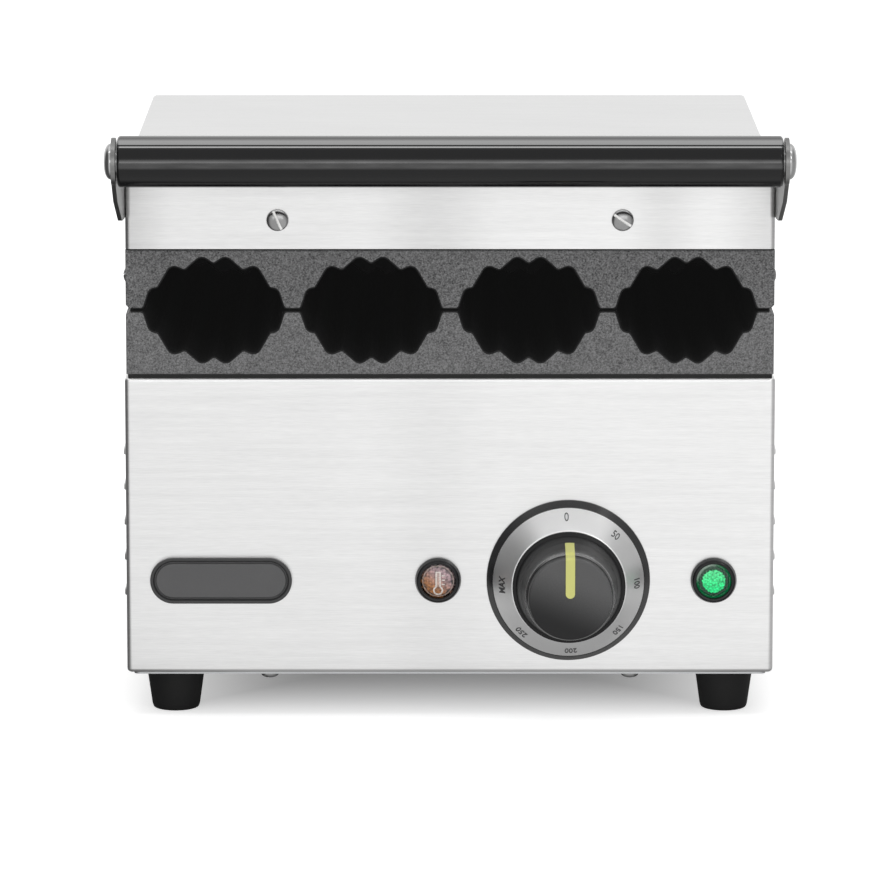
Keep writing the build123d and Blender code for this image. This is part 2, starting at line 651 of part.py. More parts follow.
with BuildPart() as name_plate:
    with BuildSketch(upright(FRONT_Y)):
        with Locations((NAME_PLATE_X, CONTROL_Z)):
            SlotOverall(NAME_PLATE_LENGTH, NAME_PLATE_HEIGHT)
    extrude(amount=NAME_PLATE_THICK)
    with BuildSketch(upright(FRONT_Y - NAME_PLATE_THICK)):
        with Locations((NAME_PLATE_X, CONTROL_Z)):
            SlotOverall(NAME_PLATE_LENGTH, NAME_PLATE_HEIGHT)
            SlotOverall(NAME_PLATE_LENGTH - 2 * NAME_PLATE_RIM, NAME_PLATE_HEIGHT - 2 * NAME_PLATE_RIM,
                        mode=Mode.SUBTRACT)
    extrude(amount=0.8)
    rim_edges = name_plate.faces().sort_by(Axis.Y)[0].edges()
    fillet(rim_edges, 0.35)
save(name_plate, "name_plate")

# Cable inlet, terminals and inner wiring
with BuildPart() as cable_gland:
    with BuildSketch(upright(BACK_Y)):
        with Locations((GLAND_X, GLAND_Z)):
            RegularPolygon(11.0, 6, major_radius=False)
    extrude(amount=-5)
    with BuildSketch(upright(BACK_Y + 5)):
        with Locations((GLAND_X, GLAND_Z)):
            Circle(9.6)
    extrude(amount=-3)
    with BuildSketch(upright(BACK_Y + 8)):
        with Locations((GLAND_X, GLAND_Z)):
            RegularPolygon(11.0, 6, major_radius=False)
    extrude(amount=-9)
    with BuildSketch(upright(BACK_Y + 17)):
        with Locations((GLAND_X, GLAND_Z)):
            Circle(10.2)
    extrude(amount=-(GLAND_TIP_Y - BACK_Y - 17), taper=28)
    with BuildSketch(upright(BACK_Y)):
        with Locations((GLAND_X, GLAND_Z)):
            Circle(GLAND_THREAD)
    extrude(amount=12)
    with BuildSketch(upright(GLAND_TIP_Y)):
        with Locations((GLAND_X, GLAND_Z)):
            Circle(CABLE_BORE)
    extrude(amount=GLAND_TIP_Y - BACK_Y + 12, mode=Mode.SUBTRACT)
save(cable_gland, "cable_gland")

panel_nuts = grouped(
    hex_nuts([plane_at(x, PANEL_BACK_Y, CONTROL_Z, (0, 1, 0)) for x in LAMP_X], 19.0, LAMP_NECK, 3.0),
    hex_nuts([plane_at(GLAND_X, SHELL_BACK_Y, GLAND_Z, (0, -1, 0))], 20.0, GLAND_THREAD, 4.5),
)
save(panel_nuts, "panel_nuts")

BLOCK_X = -50.0
BLOCK_Y = 105.0
with BuildPart() as terminal_block:
    with BuildSketch(Plane.XY.offset(BODY_BOTTOM)):
        with Locations((BLOCK_X, BLOCK_Y)):
            RectangleRounded(48, 22, 2)
    extrude(amount=8)
    with BuildSketch(Plane.XY.offset(BODY_BOTTOM + 8)):
        with Locations((BLOCK_X, BLOCK_Y)):
            with GridLocations(15, 0, 3, 1):
                Rectangle(12, 18)
    extrude(amount=9)
    with BuildSketch(Plane.XY.offset(BODY_BOTTOM + 17)):
        with Locations((BLOCK_X, BLOCK_Y)):
            with GridLocations(15, 10, 3, 2):
                Circle(2.4)
    extrude(amount=-6, mode=Mode.SUBTRACT)
save(terminal_block, "terminal_block")

with BuildPart() as earth_terminal:
    with BuildSketch(Plane.XY.offset(BODY_BOTTOM)):
        with Locations((-100, 90)):
            RegularPolygon(4.0, 6, major_radius=False)
    extrude(amount=3.2)
    with BuildSketch(Plane.XY.offset(BODY_BOTTOM + 3.2)):
        with Locations((-100, 90)):
            Circle(M4)
    extrude(amount=9)
    with BuildSketch(Plane.XY.offset(BODY_BOTTOM + 4.4)):
        with Locations((-100, 90)):
            RegularPolygon(4.0, 6, major_radius=False)
    extrude(amount=3.2)
save(earth_terminal, "earth_terminal")

WIRE_RADIUS = 1.4
WIRE_TOP = BODY_BOTTOM + 17
WIRE_ROUTES = [
    [(BLOCK_X - 15, BLOCK_Y - 5, WIRE_TOP - 4), (BLOCK_X - 15, BLOCK_Y - 5, 60), (-30, 40, 74),
     (DIAL_X - 9, -40, CONTROL_Z + 10), (DIAL_X - 9, PANEL_BACK_Y + 38, CONTROL_Z + 10)],
    [(BLOCK_X, BLOCK_Y - 5, WIRE_TOP - 4), (BLOCK_X, BLOCK_Y - 5, 48), (-20, 30, 52),
     (HEAT_LAMP_X - 3.5, -40, CONTROL_Z), (HEAT_LAMP_X - 3.5, FRONT_Y + 36, CONTROL_Z)],
    [(BLOCK_X + 15, BLOCK_Y - 5, WIRE_TOP - 4), (BLOCK_X + 15, BLOCK_Y - 5, 56), (60, 40, 48),
     (POWER_LAMP_X + 3.5, -40, CONTROL_Z), (POWER_LAMP_X + 3.5, FRONT_Y + 36, CONTROL_Z)],
]
with BuildPart() as wiring_harness:
    for route in WIRE_ROUTES:
        with BuildLine() as wire_path:
            FilletPolyline(*route, radius=12)
        with BuildSketch(Plane(origin=route[0], x_dir=(1, 0, 0), z_dir=(0, 0, 1))):
            Circle(WIRE_RADIUS)
        sweep(path=wire_path.wires()[0])
save(wiring_harness, "wiring_harness")

# Hinge brackets on the back, pins, and arms on the lid
for hand, x in zip(("left", "right"), HINGE_X):
    with BuildPart() as bracket:
        for ear_x in (x - EAR_INNER - EAR_THICK, x + EAR_INNER):
            with BuildSketch(Plane.YZ.offset(ear_x)):
                with BuildLine():
                    Polyline(
                        (BACK_Y, 116),
                        (BACK_Y + 6, 116),
                        (HINGE_Y + EAR_RADIUS * cos(radians(15)), HINGE_Z - EAR_RADIUS * sin(radians(15))),
                        (HINGE_Y, HINGE_Z),
                        (HINGE_Y - EAR_RADIUS * cos(radians(40)), HINGE_Z - EAR_RADIUS * sin(radians(40))),
                        (BACK_Y, 170),
                        close=True,
                    )
                make_face()
                with Locations((HINGE_Y, HINGE_Z)):
                    Circle(EAR_RADIUS)
                    Circle(PIN_RADIUS, mode=Mode.SUBTRACT)
            extrude(amount=EAR_THICK)
        with BuildSketch(upright(BACK_Y)):
            with Locations((x, (116 + 168) / 2)):
                Rectangle(2 * (EAR_INNER + EAR_THICK), 168 - 116)
            with Locations(*[(x + dx, z) for dx in (-HINGE_SCREW_X, HINGE_SCREW_X) for z in HINGE_SCREW_Z]):
                Circle(M4, mode=Mode.SUBTRACT)
        extrude(amount=-EAR_THICK)
    save(bracket, f"hinge_bracket_{hand}")

    with BuildPart() as arm:
        with BuildSketch(Plane.YZ.offset(x - KNUCKLE_HALF)):
            with BuildLine():
                Polyline(
                    (BACK_Y, HINGE_Z + 1),
                    (HINGE_Y - 6, HINGE_Z + 1),
                    (HINGE_Y, HINGE_Z + KNUCKLE_RADIUS - 0.1),
                    (BACK_Y + ARM_THICK, HINGE_Z + 11.5),
                    (BACK_Y + ARM_THICK, ARM_TOP),
                    (BACK_Y, ARM_TOP),
                    close=True,
                )
            make_face()
            with Locations((HINGE_Y, HINGE_Z)):
                Circle(KNUCKLE_RADIUS)
                Circle(PIN_RADIUS + PIN_PLAY, mode=Mode.SUBTRACT)
        extrude(amount=2 * KNUCKLE_HALF)
        with BuildSketch(upright(BACK_Y + ARM_THICK)):
            with Locations(*[(x + dx, z) for dx in (-HINGE_SCREW_X, HINGE_SCREW_X) for z in ARM_SCREW_Z]):
                Circle(M5)
        extrude(amount=ARM_THICK, mode=Mode.SUBTRACT)
        top_corners = arm.edges().filter_by(Axis.Y).group_by(Axis.Z)[-1]
        fillet(top_corners, 5)
    save(arm, f"hinge_arm_{hand}")

# Screws and nuts of the cabinet: back panel, bottom plate, hinge brackets and feet
back_screw_planes = [plane_at(x, BACK_Y, z, (0, 1, 0)) for x, z in BACK_SCREW_PLACES]
base_screw_planes = [plane_at(x, y, BODY_BOTTOM - SHEET, (0, 0, -1)) for x, y in BASE_SCREW_PLACES]
bracket_screw_planes = [plane_at(x, BACK_Y + EAR_THICK, z, (0, 1, 0)) for x, z in HINGE_HOLES]
cabinet_screws = grouped(
    pan_screws(back_screw_planes, M4_HEAD, M4, PANEL_SCREW_REACH),
    pan_screws(base_screw_planes, M4_HEAD, M4, PANEL_SCREW_REACH),
    pan_screws(bracket_screw_planes, M4_HEAD, M4, EAR_THICK + SHEET + 7),
)
save(cabinet_screws, "cabinet_screws")

bracket_nut_planes = [plane_at(x, SHELL_BACK_Y, z, (0, -1, 0)) for x, z in HINGE_HOLES]
foot_nut_planes = [plane_at(x, y, BODY_BOTTOM, (0, 0, 1)) for x, y in FOOT_PLACES]
cabinet_nuts = grouped(
    hex_nuts(bracket_nut_planes, M4_NUT, M4, 3.2),
    hex_nuts(foot_nut_planes, M5_NUT, M5, 4.0),
)
save(cabinet_nuts, "cabinet_nuts")

with BuildPart() as pins:
    for x in HINGE_X:
        outward = 1 if x > 0 else -1
        end = EAR_INNER + EAR_THICK
        with BuildSketch(Plane.YZ.offset(x - end - 1.5)):
            with Locations((HINGE_Y, HINGE_Z)):
                Circle(PIN_RADIUS)
        extrude(amount=2 * end + 3)
        with BuildSketch(Plane.YZ.offset(x + outward * end)):
            with Locations((HINGE_Y, HINGE_Z)):
                Circle(6.5)
        extrude(amount=outward * 2.5)

with BuildPart() as pin_clips:
    for x in HINGE_X:
        inward = -1 if x > 0 else 1
        with BuildSketch(Plane.YZ.offset(x + inward * (EAR_INNER + EAR_THICK))):
            with Locations((HINGE_Y, HINGE_Z)):
                Circle(6.2)
                Circle(PIN_RADIUS, mode=Mode.SUBTRACT)
        extrude(amount=inward * 1.0)
hinge_pins = grouped(pins, pin_clips)
save(hinge_pins, "hinge_pins")

# Upper plate, element and board inside the lid
upper_casting = cast_plate(SPLIT_Z + SPLIT_GAP / 2, PLATE_TOP, 1)
LUG_DEPTH = 9.0
LUG_TOP = LID_SCREW_Z + 7
ARM_HOLES = [(x + dx, ARM_SCREW_Z[0]) for x in HINGE_X for dx in (-HINGE_SCREW_X, HINGE_SCREW_X)]
with BuildPart() as upper_grill_plate:
    add(upper_casting.part)
    with BuildSketch(Plane.XY.offset(PLATE_TOP)):
        with Locations(*[(x, FRONT_Y + SHEET + LUG_DEPTH / 2) for x in (-LID_SCREW_X, LID_SCREW_X)]):
            Rectangle(16, LUG_DEPTH)
    extrude(amount=LUG_TOP - PLATE_TOP)
    with BuildSketch(upright(FRONT_Y)):
        with Locations((-LID_SCREW_X, LID_SCREW_Z), (LID_SCREW_X, LID_SCREW_Z)):
            Circle(M5)
    extrude(amount=-(SHEET + LUG_DEPTH), mode=Mode.SUBTRACT)
    with BuildSketch(upright(BACK_Y)):
        with Locations(*ARM_HOLES):
            Circle(M5)
    extrude(amount=10, mode=Mode.SUBTRACT)
    for side in (-1, 1):
        with BuildSketch(plane_at(side * PLATE_HALF_WIDTH, SIDE_SCREW_Y, SIDE_SCREW_Z, (side, 0, 0))):
            Circle(M4)
        extrude(amount=-5, mode=Mode.SUBTRACT)
save(upper_grill_plate, "upper_grill_plate")

UPPER_ROD_Z = PLATE_TOP + ROD_RADIUS + ROD_LAP
UPPER_CLAMP_LOW = UPPER_ROD_Z + ROD_RADIUS + ROD_LAP
upper_heating_element = heating_element(UPPER_ROD_Z)
save(upper_heating_element, "upper_heating_element")

upper_element_clamps = clamp_bars(UPPER_CLAMP_LOW)
save(upper_element_clamps, "upper_element_clamps")

upper_clamp_planes = [plane_at(x, y, UPPER_CLAMP_LOW + CLAMP_THICK, (0, 0, 1))
                      for x in RIDGE_X for y in CLAMP_Y]
upper_clamp_screws = hex_screws(upper_clamp_planes, M5_NUT, M5, CLAMP_SCREW_REACH, CLAMP_SCREW_HEAD)
save(upper_clamp_screws, "upper_clamp_screws")

UPPER_BOARD_LOW = UPPER_CLAMP_LOW + CLAMP_THICK + CLAMP_SCREW_HEAD
with BuildPart() as upper_insulation_board:
    with BuildSketch(Plane.XY.offset(UPPER_BOARD_LOW)):
        with Locations((0, 8)):
            Rectangle(250, 232)
    extrude(amount=BOARD_THICK)
save(upper_insulation_board, "upper_insulation_board")

side_screw_planes = [plane_at(s * PLATE_HALF_WIDTH, SIDE_SCREW_Y, SIDE_SCREW_Z, (s, 0, 0)) for s in (-1, 1)]
upper_plate_side_screws = pan_screws(side_screw_planes, 3.6, M4, 5, 3.0)
save(upper_plate_side_screws, "upper_plate_side_screws")

# Lid cover
BRACKET_HOLES = [(y, BRACKET_SCREW_Z) for y in BRACKET_SCREW_Y]
with BuildPart() as lid_shell:
    with BuildSketch(Plane.XY.offset(PLATE_TOP)):
        with Locations((0, MID_Y)):
            Rectangle(2 * LID_HALF_WIDTH, BODY_DEPTH)
    extrude(amount=LID_TOP - PLATE_TOP)
    fillet(lid_shell.edges().filter_by(Axis.Z), BEND)
    fillet(lid_shell.faces().sort_by(Axis.Z)[-1].edges(), LID_EDGE)
    with BuildSketch(Plane.XY.offset(PLATE_TOP)):
        with Locations((0, MID_Y)):
            RectangleRounded(2 * (LID_HALF_WIDTH - SHEET), BODY_DEPTH - 2 * SHEET, BEND - SHEET)
    extrude(amount=LID_TOP - PLATE_TOP - SHEET, mode=Mode.SUBTRACT)
    with BuildSketch(upright(FRONT_Y)):
        with Locations((-LID_SCREW_X, LID_SCREW_Z), (LID_SCREW_X, LID_SCREW_Z)):
            Circle(M5)
    extrude(amount=-SHEET, mode=Mode.SUBTRACT)
    with BuildSketch(upright(BACK_Y)):
        with Locations(*[(x, ARM_SCREW_Z[1]) for x, _ in ARM_HOLES]):
            Circle(M5)
        with Locations((0, HOSE_HIGH_Z)):
            Circle(HOSE_BORE + 1)
    extrude(amount=SHEET, mode=Mode.SUBTRACT)
    with BuildSketch(Plane.YZ.offset(-LID_HALF_WIDTH)):
        with Locations(*BRACKET_HOLES):
            Circle(M5)
    extrude(amount=2 * LID_HALF_WIDTH, mode=Mode.SUBTRACT)
save(lid_shell, "lid_shell")

lid_screw_planes = [plane_at(x, FRONT_Y, LID_SCREW_Z, (0, -1, 0)) for x in (-LID_SCREW_X, LID_SCREW_X)]
lid_front_screws = pan_screws(lid_screw_planes, M5_HEAD, M5, SHEET + LUG_DEPTH, M5_HEAD_HEIGHT)
save(lid_front_screws, "lid_front_screws")

# Hose that carries the wires of the upper element past the pin line
ELBOWS = (("hose_elbow_lower", HOSE_LOW_Z, ELBOW_RISE), ("hose_elbow_upper", HOSE_HIGH_Z, -ELBOW_RISE))
for name, z, rise in ELBOWS:
    with BuildPart() as elbow:
        with BuildSketch(upright(BACK_Y)):
            with Locations((0, z)):
                RegularPolygon(10.0, 6, major_radius=False)
        extrude(amount=-3)
        with BuildSketch(upright(BACK_Y)):
            with Locations((0, z)):
                Circle(ELBOW_RADIUS)
        extrude(amount=-(HINGE_Y - BACK_Y))
        with Locations((0, HINGE_Y, z)):
            Sphere(ELBOW_RADIUS)
        with BuildSketch(Plane(origin=(0, HINGE_Y, z), x_dir=(1, 0, 0), z_dir=(0, 0, 1))):
            Circle(ELBOW_RADIUS)
        extrude(amount=rise)
        with BuildSketch(upright(BACK_Y)):
            with Locations((0, z)):
                Circle(HOSE_BORE + 1)
        extrude(amount=8)
    save(elbow, name)

RIB_OUTLINE = ((0.15, HOSE_GROOVE), (0.35, HOSE_RADIUS), (0.65, HOSE_RADIUS), (0.85, HOSE_GROOVE))
HOSE_START = HOSE_LOW_Z + ELBOW_RISE
HOSE_LENGTH = HOSE_HIGH_Z - ELBOW_RISE - HOSE_START
RIB_PITCH = HOSE_LENGTH / HOSE_RIBS
with BuildPart() as lid_hose:
    with BuildSketch(Plane(origin=(0, HINGE_Y, HOSE_START), x_dir=(1, 0, 0), z_dir=(0, -1, 0))):
        ribs = [(HOSE_BORE, 0), (HOSE_GROOVE, 0)]
        for i in range(HOSE_RIBS):
            for share, radius in RIB_OUTLINE:
                ribs.append((radius, (i + share) * RIB_PITCH))
        ribs += [(HOSE_GROOVE, HOSE_LENGTH), (HOSE_BORE, HOSE_LENGTH)]
        with BuildLine():
            Polyline(*ribs, close=True)
        make_face()
    revolve(axis=Axis((0, HINGE_Y, 0), (0, 0, 1)))
save(lid_hose, "lid_hose")

# Handle: brackets, grip, rod and bolts
BOLT_FACE = LID_HALF_WIDTH + BRACKET_THICK + BRACKET_JOGGLE
ROD_HALF = BOLT_FACE - BRACKET_THICK
for hand, side in (("left", -1), ("right", 1)):
    inner = LID_HALF_WIDTH
    with BuildPart() as handle_bracket:
        with BuildSketch(Plane.XY.offset(214)):
            with BuildLine():
                Polyline(
                    (side * inner, -74),
                    (side * (inner + BRACKET_THICK), -74),
                    (side * (inner + BRACKET_THICK), -127),
                    (side * (inner + BRACKET_THICK + BRACKET_JOGGLE), -149),
                    (side * (inner + BRACKET_THICK + BRACKET_JOGGLE), -175),
                    (side * (inner + BRACKET_JOGGLE), -175),
                    (side * (inner + BRACKET_JOGGLE), -149),
                    (side * inner, -127),
                    close=True,
                )
            make_face()
        extrude(amount=60)
        with BuildSketch(Plane.YZ.offset(side * (inner - 5))):
            with BuildLine():
                Polyline(
                    (BAR_Y - 8.6, BAR_Z - 6.0),
                    (-134, 226.5),
                    (-78, 226.5),
                    (-78, 244.0),
                    (-118, 244.0),
                    (BAR_Y + 4.2, BAR_Z + 9.6),
                    (BAR_Y, BAR_Z),
                    close=True,
                )
            make_face()
            fillet([v for v in vertices() if v.Z < 228 or v.Y > -80], 4)
            with Locations((BAR_Y, BAR_Z)):
                Circle(BRACKET_END)
                Circle(HANDLE_BOLT_SHANK, mode=Mode.SUBTRACT)
            with Locations(*BRACKET_HOLES):
                Circle(M5, mode=Mode.SUBTRACT)
        extrude(amount=side * 20, mode=Mode.INTERSECT)
    save(handle_bracket, f"handle_bracket_{hand}")

with BuildPart() as handle_grip:
    with BuildSketch(Plane.YZ.offset(-BAR_HALF)):
        with Locations((BAR_Y, BAR_Z)):
            Circle(BAR_RADIUS)
            Circle(BAR_BORE, mode=Mode.SUBTRACT)
    extrude(amount=2 * BAR_HALF)
    outer_ends = handle_grip.edges().filter_by(GeomType.CIRCLE).sort_by(lambda e: e.radius)[-2:]
    fillet(outer_ends, BAR_EDGE)
save(handle_grip, "handle_grip")

with BuildPart() as handle_rod:
    with BuildSketch(Plane.YZ.offset(-ROD_HALF)):
        with Locations((BAR_Y, BAR_Z)):
            Circle(BAR_BORE)
    extrude(amount=2 * ROD_HALF)
    for side in (-1, 1):
        with BuildSketch(Plane.YZ.offset(side * ROD_HALF)):
            with Locations((BAR_Y, BAR_Z)):
                Circle(HANDLE_BOLT_SHANK)
        extrude(amount=-side * 18, mode=Mode.SUBTRACT)
save(handle_rod, "handle_rod")

DOME_RADIUS = (HANDLE_BOLT_HEAD ** 2 + HANDLE_BOLT_DOME ** 2) / (2 * HANDLE_BOLT_DOME)
DOME_HALF_TURN = asin(HANDLE_BOLT_HEAD / DOME_RADIUS) / 2
DOME_MIDDLE = (HANDLE_BOLT_DOME - DOME_RADIUS * (1 - cos(DOME_HALF_TURN)), DOME_RADIUS * sin(DOME_HALF_TURN))
with BuildPart() as handle_bolts:
    for side in (-1, 1):
        with BuildSketch(Plane(origin=(side * BOLT_FACE, BAR_Y, BAR_Z), x_dir=(side, 0, 0), z_dir=(0, 0, 1))):
            with BuildLine():
                Line((0, 0), (0, HANDLE_BOLT_HEAD))
                ThreePointArc((0, HANDLE_BOLT_HEAD), DOME_MIDDLE, (HANDLE_BOLT_DOME, 0))
                Line((HANDLE_BOLT_DOME, 0), (0, 0))
            make_face()
        revolve(axis=Axis((0, BAR_Y, BAR_Z), (1, 0, 0)))
        with BuildSketch(Plane(origin=(side * (BOLT_FACE + HANDLE_BOLT_DOME), BAR_Y, BAR_Z), x_dir=(0, 1, 0),
                               z_dir=(side, 0, 0))):
            RegularPolygon(2.5, 6, major_radius=False)
        extrude(amount=-2.2, mode=Mode.SUBTRACT)
        with BuildSketch(Plane.YZ.offset(side * BOLT_FACE)):
            with Locations((BAR_Y, BAR_Z)):
                Circle(HANDLE_BOLT_SHANK)
        extrude(amount=-side * 18)
save(handle_bolts, "handle_bolts")

# Screws and nuts that hold the hinge arms and the handle brackets to the lid
arm_screw_planes = [plane_at(x, BACK_Y + ARM_THICK, z, (0, 1, 0)) for x, _ in ARM_HOLES for z in ARM_SCREW_Z]
bracket_face_planes = [plane_at(s * (LID_HALF_WIDTH + BRACKET_THICK), y, z, (s, 0, 0))
                       for s in (-1, 1) for y, z in BRACKET_HOLES]
lid_fixing_screws = grouped(
    pan_screws(arm_screw_planes, M5_HEAD, M5, ARM_THICK + 8, M5_HEAD_HEIGHT),
    pan_screws(bracket_face_planes, M5_HEAD, M5, BRACKET_THICK + SHEET + 6, M5_HEAD_HEIGHT),
)
save(lid_fixing_screws, "lid_fixing_screws")

arm_nut_planes = [plane_at(x, SHELL_BACK_Y, ARM_SCREW_Z[1], (0, -1, 0)) for x, _ in ARM_HOLES]
inner_wall_planes = [plane_at(s * (LID_HALF_WIDTH - SHEET), y, z, (-s, 0, 0))
                     for s in (-1, 1) for y, z in BRACKET_HOLES]
lid_nuts = hex_nuts(arm_nut_planes + inner_wall_planes, M5_NUT, M5, 4.0)
save(lid_nuts, "lid_nuts")
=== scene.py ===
"""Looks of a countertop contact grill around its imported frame: finishes, fine pieces and the stage.

The file is laid out as an add-on and is run as a script. Lengths are metres, +Z is up, the front
faces -Y and +X is the viewer's right. A node named in quotes is a piece of the frame.
"""

import json
import math

import bmesh
import bpy
import numpy as np
from bpy.props import FloatProperty, FloatVectorProperty, IntProperty, PointerProperty
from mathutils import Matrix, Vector


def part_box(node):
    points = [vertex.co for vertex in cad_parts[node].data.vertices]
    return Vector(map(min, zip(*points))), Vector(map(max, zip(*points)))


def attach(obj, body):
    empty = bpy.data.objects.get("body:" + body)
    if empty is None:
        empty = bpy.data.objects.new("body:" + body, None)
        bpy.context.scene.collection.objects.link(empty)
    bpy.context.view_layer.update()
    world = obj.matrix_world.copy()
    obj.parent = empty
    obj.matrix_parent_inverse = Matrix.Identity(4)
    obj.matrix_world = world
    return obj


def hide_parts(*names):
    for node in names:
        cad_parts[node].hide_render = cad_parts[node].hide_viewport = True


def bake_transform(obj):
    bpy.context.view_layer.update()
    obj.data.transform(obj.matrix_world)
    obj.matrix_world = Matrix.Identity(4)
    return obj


bl_info = {
    "name": "Contact grill",
    "version": (1, 0, 0),
    "blender": (4, 5, 0),
    "location": "3D View > Sidebar > Grill",
    "description": "Finishes and fine pieces of a contact grill with fluted cast plates",
    "category": "Object",
}

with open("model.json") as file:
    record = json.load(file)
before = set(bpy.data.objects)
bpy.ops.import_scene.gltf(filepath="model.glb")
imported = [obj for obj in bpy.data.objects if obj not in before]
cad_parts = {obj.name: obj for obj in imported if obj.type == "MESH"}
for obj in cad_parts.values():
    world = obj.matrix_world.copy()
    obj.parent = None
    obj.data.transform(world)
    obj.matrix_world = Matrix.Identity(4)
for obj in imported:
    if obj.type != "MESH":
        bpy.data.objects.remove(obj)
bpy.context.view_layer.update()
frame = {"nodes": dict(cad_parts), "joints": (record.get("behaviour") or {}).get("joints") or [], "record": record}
MM = 0.001
MERGE = 1e-6
RIGHT = np.array((1.0, 0.0, 0.0))
FORWARD = np.array((0.0, -1.0, 0.0))
UP = np.array((0.0, 0.0, 1.0))


def middle(node):
    """Middle of a node's box."""
    low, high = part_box(node)
    return (low + high) / 2


def edge(node, side, axis):
    """Lowest (side 0) or highest (side 1) coordinate of a node along an axis, 0 to 2."""
    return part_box(node)[side][axis]


# Places that the frame gives
PANEL_Y = edge("body_shell", 0, 1)
SHELL_BACK_Y = edge("body_shell", 1, 1)
BODY_HALF_X = edge("back_panel", 1, 0)
BODY_LOW_Z = edge("body_shell", 0, 2)
BODY_TOP_Z = edge("body_shell", 1, 2)
PLATE_LOW_Z = edge("lower_grill_plate", 0, 2)
PLATE_FRONT_Y = edge("lower_grill_plate", 0, 1)
PLATE_BACK_Y = edge("lower_grill_plate", 1, 1)
PLATE_HALF_X = edge("lower_grill_plate", 1, 0)
LID_LOW_Z = edge("lid_shell", 0, 2)
LID_TOP_Z = edge("lid_shell", 1, 2)
LID_HALF_X = edge("lid_shell", 1, 0)
SPLIT_Z = frame["joints"][0]["pos_m"][2]
SPLIT_GAP = SPLIT_Z - edge("lower_grill_plate", 1, 2)
CONTROL_Z = middle("control_knob")[2]
DIAL_X = middle("control_knob")[0]
# Thickness of the steel of the cabinet and the lid cover
SHEET = 1.2 * MM


# Surfaces


def smooth(share):
    """0 to 1 as a smooth step: 3 s squared - 2 s cubed, held outside."""
    share = np.clip(share, 0.0, 1.0)
    return share * share * (3 - 2 * share)


def rounded(corners, radii, steps=6, closed=False):
    """Polyline with its corners rounded: a corner of radius r becomes an arc that touches both legs.

    The arc's middle lies r / sin(half the corner's angle) from the corner, between its legs.
    """
    corners = np.asarray(corners, float)
    count = len(corners)
    share = np.linspace(0.0, 1.0, steps + 1)[:, None]
    runs = []
    for i, radius in enumerate(radii):
        corner = corners[i]
        if radius == 0 or not closed and i in (0, count - 1):
            runs.append(corner[None])
            continue
        before = corners[i - 1] - corner
        after = corners[(i + 1) % count] - corner
        before, after = before / np.linalg.norm(before), after / np.linalg.norm(after)
        half = math.acos(np.clip(before @ after, -1.0, 1.0)) / 2
        centre = corner + (before + after) / np.linalg.norm(before + after) * radius / math.sin(half)
        start = (corner + before * radius / math.tan(half) - centre) / radius
        end = (corner + after * radius / math.tan(half) - centre) / radius
        turn = math.acos(np.clip(start @ end, -1.0, 1.0))
        arc = (np.sin((1 - share) * turn) * start + np.sin(share * turn) * end) / math.sin(turn)
        runs.append(centre + radius * arc)
    return np.concatenate(runs)


def drawn(corners, closed=False):
    """Rounded polyline from corners of (across, up, radius of its rounding), in millimetres."""
    corners = np.array(corners) * MM
    return rounded(corners[:, :2], corners[:, 2], closed=closed)


def grid_faces(rows, columns, wrap_rows=False, wrap_columns=False):
    """Quads between the points of a grid; a wrapped grid joins its last row or column to its first."""
    row, column = np.meshgrid(
        np.arange(rows if wrap_rows else rows - 1),
        np.arange(columns if wrap_columns else columns - 1),
        indexing="ij",
    )
    next_row, next_column = (row + 1) % rows, (column + 1) % columns
    corners = [(row, column), (row, next_column), (next_row, next_column), (next_row, column)]
    return np.stack([r * columns + c for r, c in corners], axis=-1).reshape(-1, 4)


def surface(points, wrap_rows=False, wrap_columns=False, caps=()):
    """Points (rows, columns, 3) with their faces; caps names rows that are closed by one flat face."""
    rows, columns = points.shape[:2]
    faces = grid_faces(rows, columns, wrap_rows, wrap_columns).tolist()
    faces += [[row * columns + c for c in range(columns)] for row in caps]
    return points.reshape(-1, 3), faces


def lathe(profile, origin, axis, steps=96, ring=False):
    """Outline of (radius, height) points turned about an axis.

    Point = origin + height * axis + radius * (cos a * side + sin a * rise). A ring's outline is a loop.
    """
    profile, axis = np.asarray(profile, float), np.asarray(axis, float)
    side = UP if abs(axis[2]) < 0.9 else RIGHT
    rise = np.cross(axis, side)
    turn = np.linspace(0.0, 2 * math.pi, steps, endpoint=False)
    spokes = np.cos(turn)[:, None] * side + np.sin(turn)[:, None] * rise
    points = np.asarray(origin) + profile[:, 1, None, None] * axis + profile[:, 0, None, None] * spokes
    return surface(points, wrap_rows=ring, wrap_columns=True)


def inset_loop(loop, distance):
    """Closed outline moved inwards: each point goes along the sum of its two edges' inward normals.

    The sum is divided by 1 + their dot product, so both edges move by the distance.
    """
    ahead = np.roll(loop, -1, axis=0) - loop
    ahead /= np.linalg.norm(ahead, axis=1)[:, None]
    behind = np.roll(ahead, 1, axis=0)
    area = np.sum(loop[:, 0] * np.roll(loop[:, 1], -1) - np.roll(loop[:, 0], -1) * loop[:, 1])
    turn = np.array(((0.0, 1.0), (-1.0, 0.0))) * np.sign(area)
    first, second = behind @ turn, ahead @ turn
    return loop + distance * (first + second) / (1 + np.sum(first * second, axis=1))[:, None]


def plan_loop(half, front, back, corner):
    """Rounded rectangle seen from above, anticlockwise."""
    corners = [(-half, front), (half, front), (half, back), (-half, back)]
    return rounded(corners, [corner] * 4, closed=True)


def quarter(radius, steps=5):
    """(inset, height) pairs of a rounded edge, from its start on the side to its top."""
    turn = np.linspace(0.0, math.pi / 2, steps + 1)
    return np.stack([radius * (1 - np.cos(turn)), radius * np.sin(turn)], axis=1)


def slab(loop, levels, place):
    """Closed outline stacked through levels of (inset, height), closed at both ends.

    place turns (across, along, height) arrays into points.
    """
    rows = [place(*inset_loop(loop, inset).T, np.full(len(loop), height)) for inset, height in levels]
    return surface(np.stack(rows), wrap_columns=True, caps=(0, len(levels) - 1))


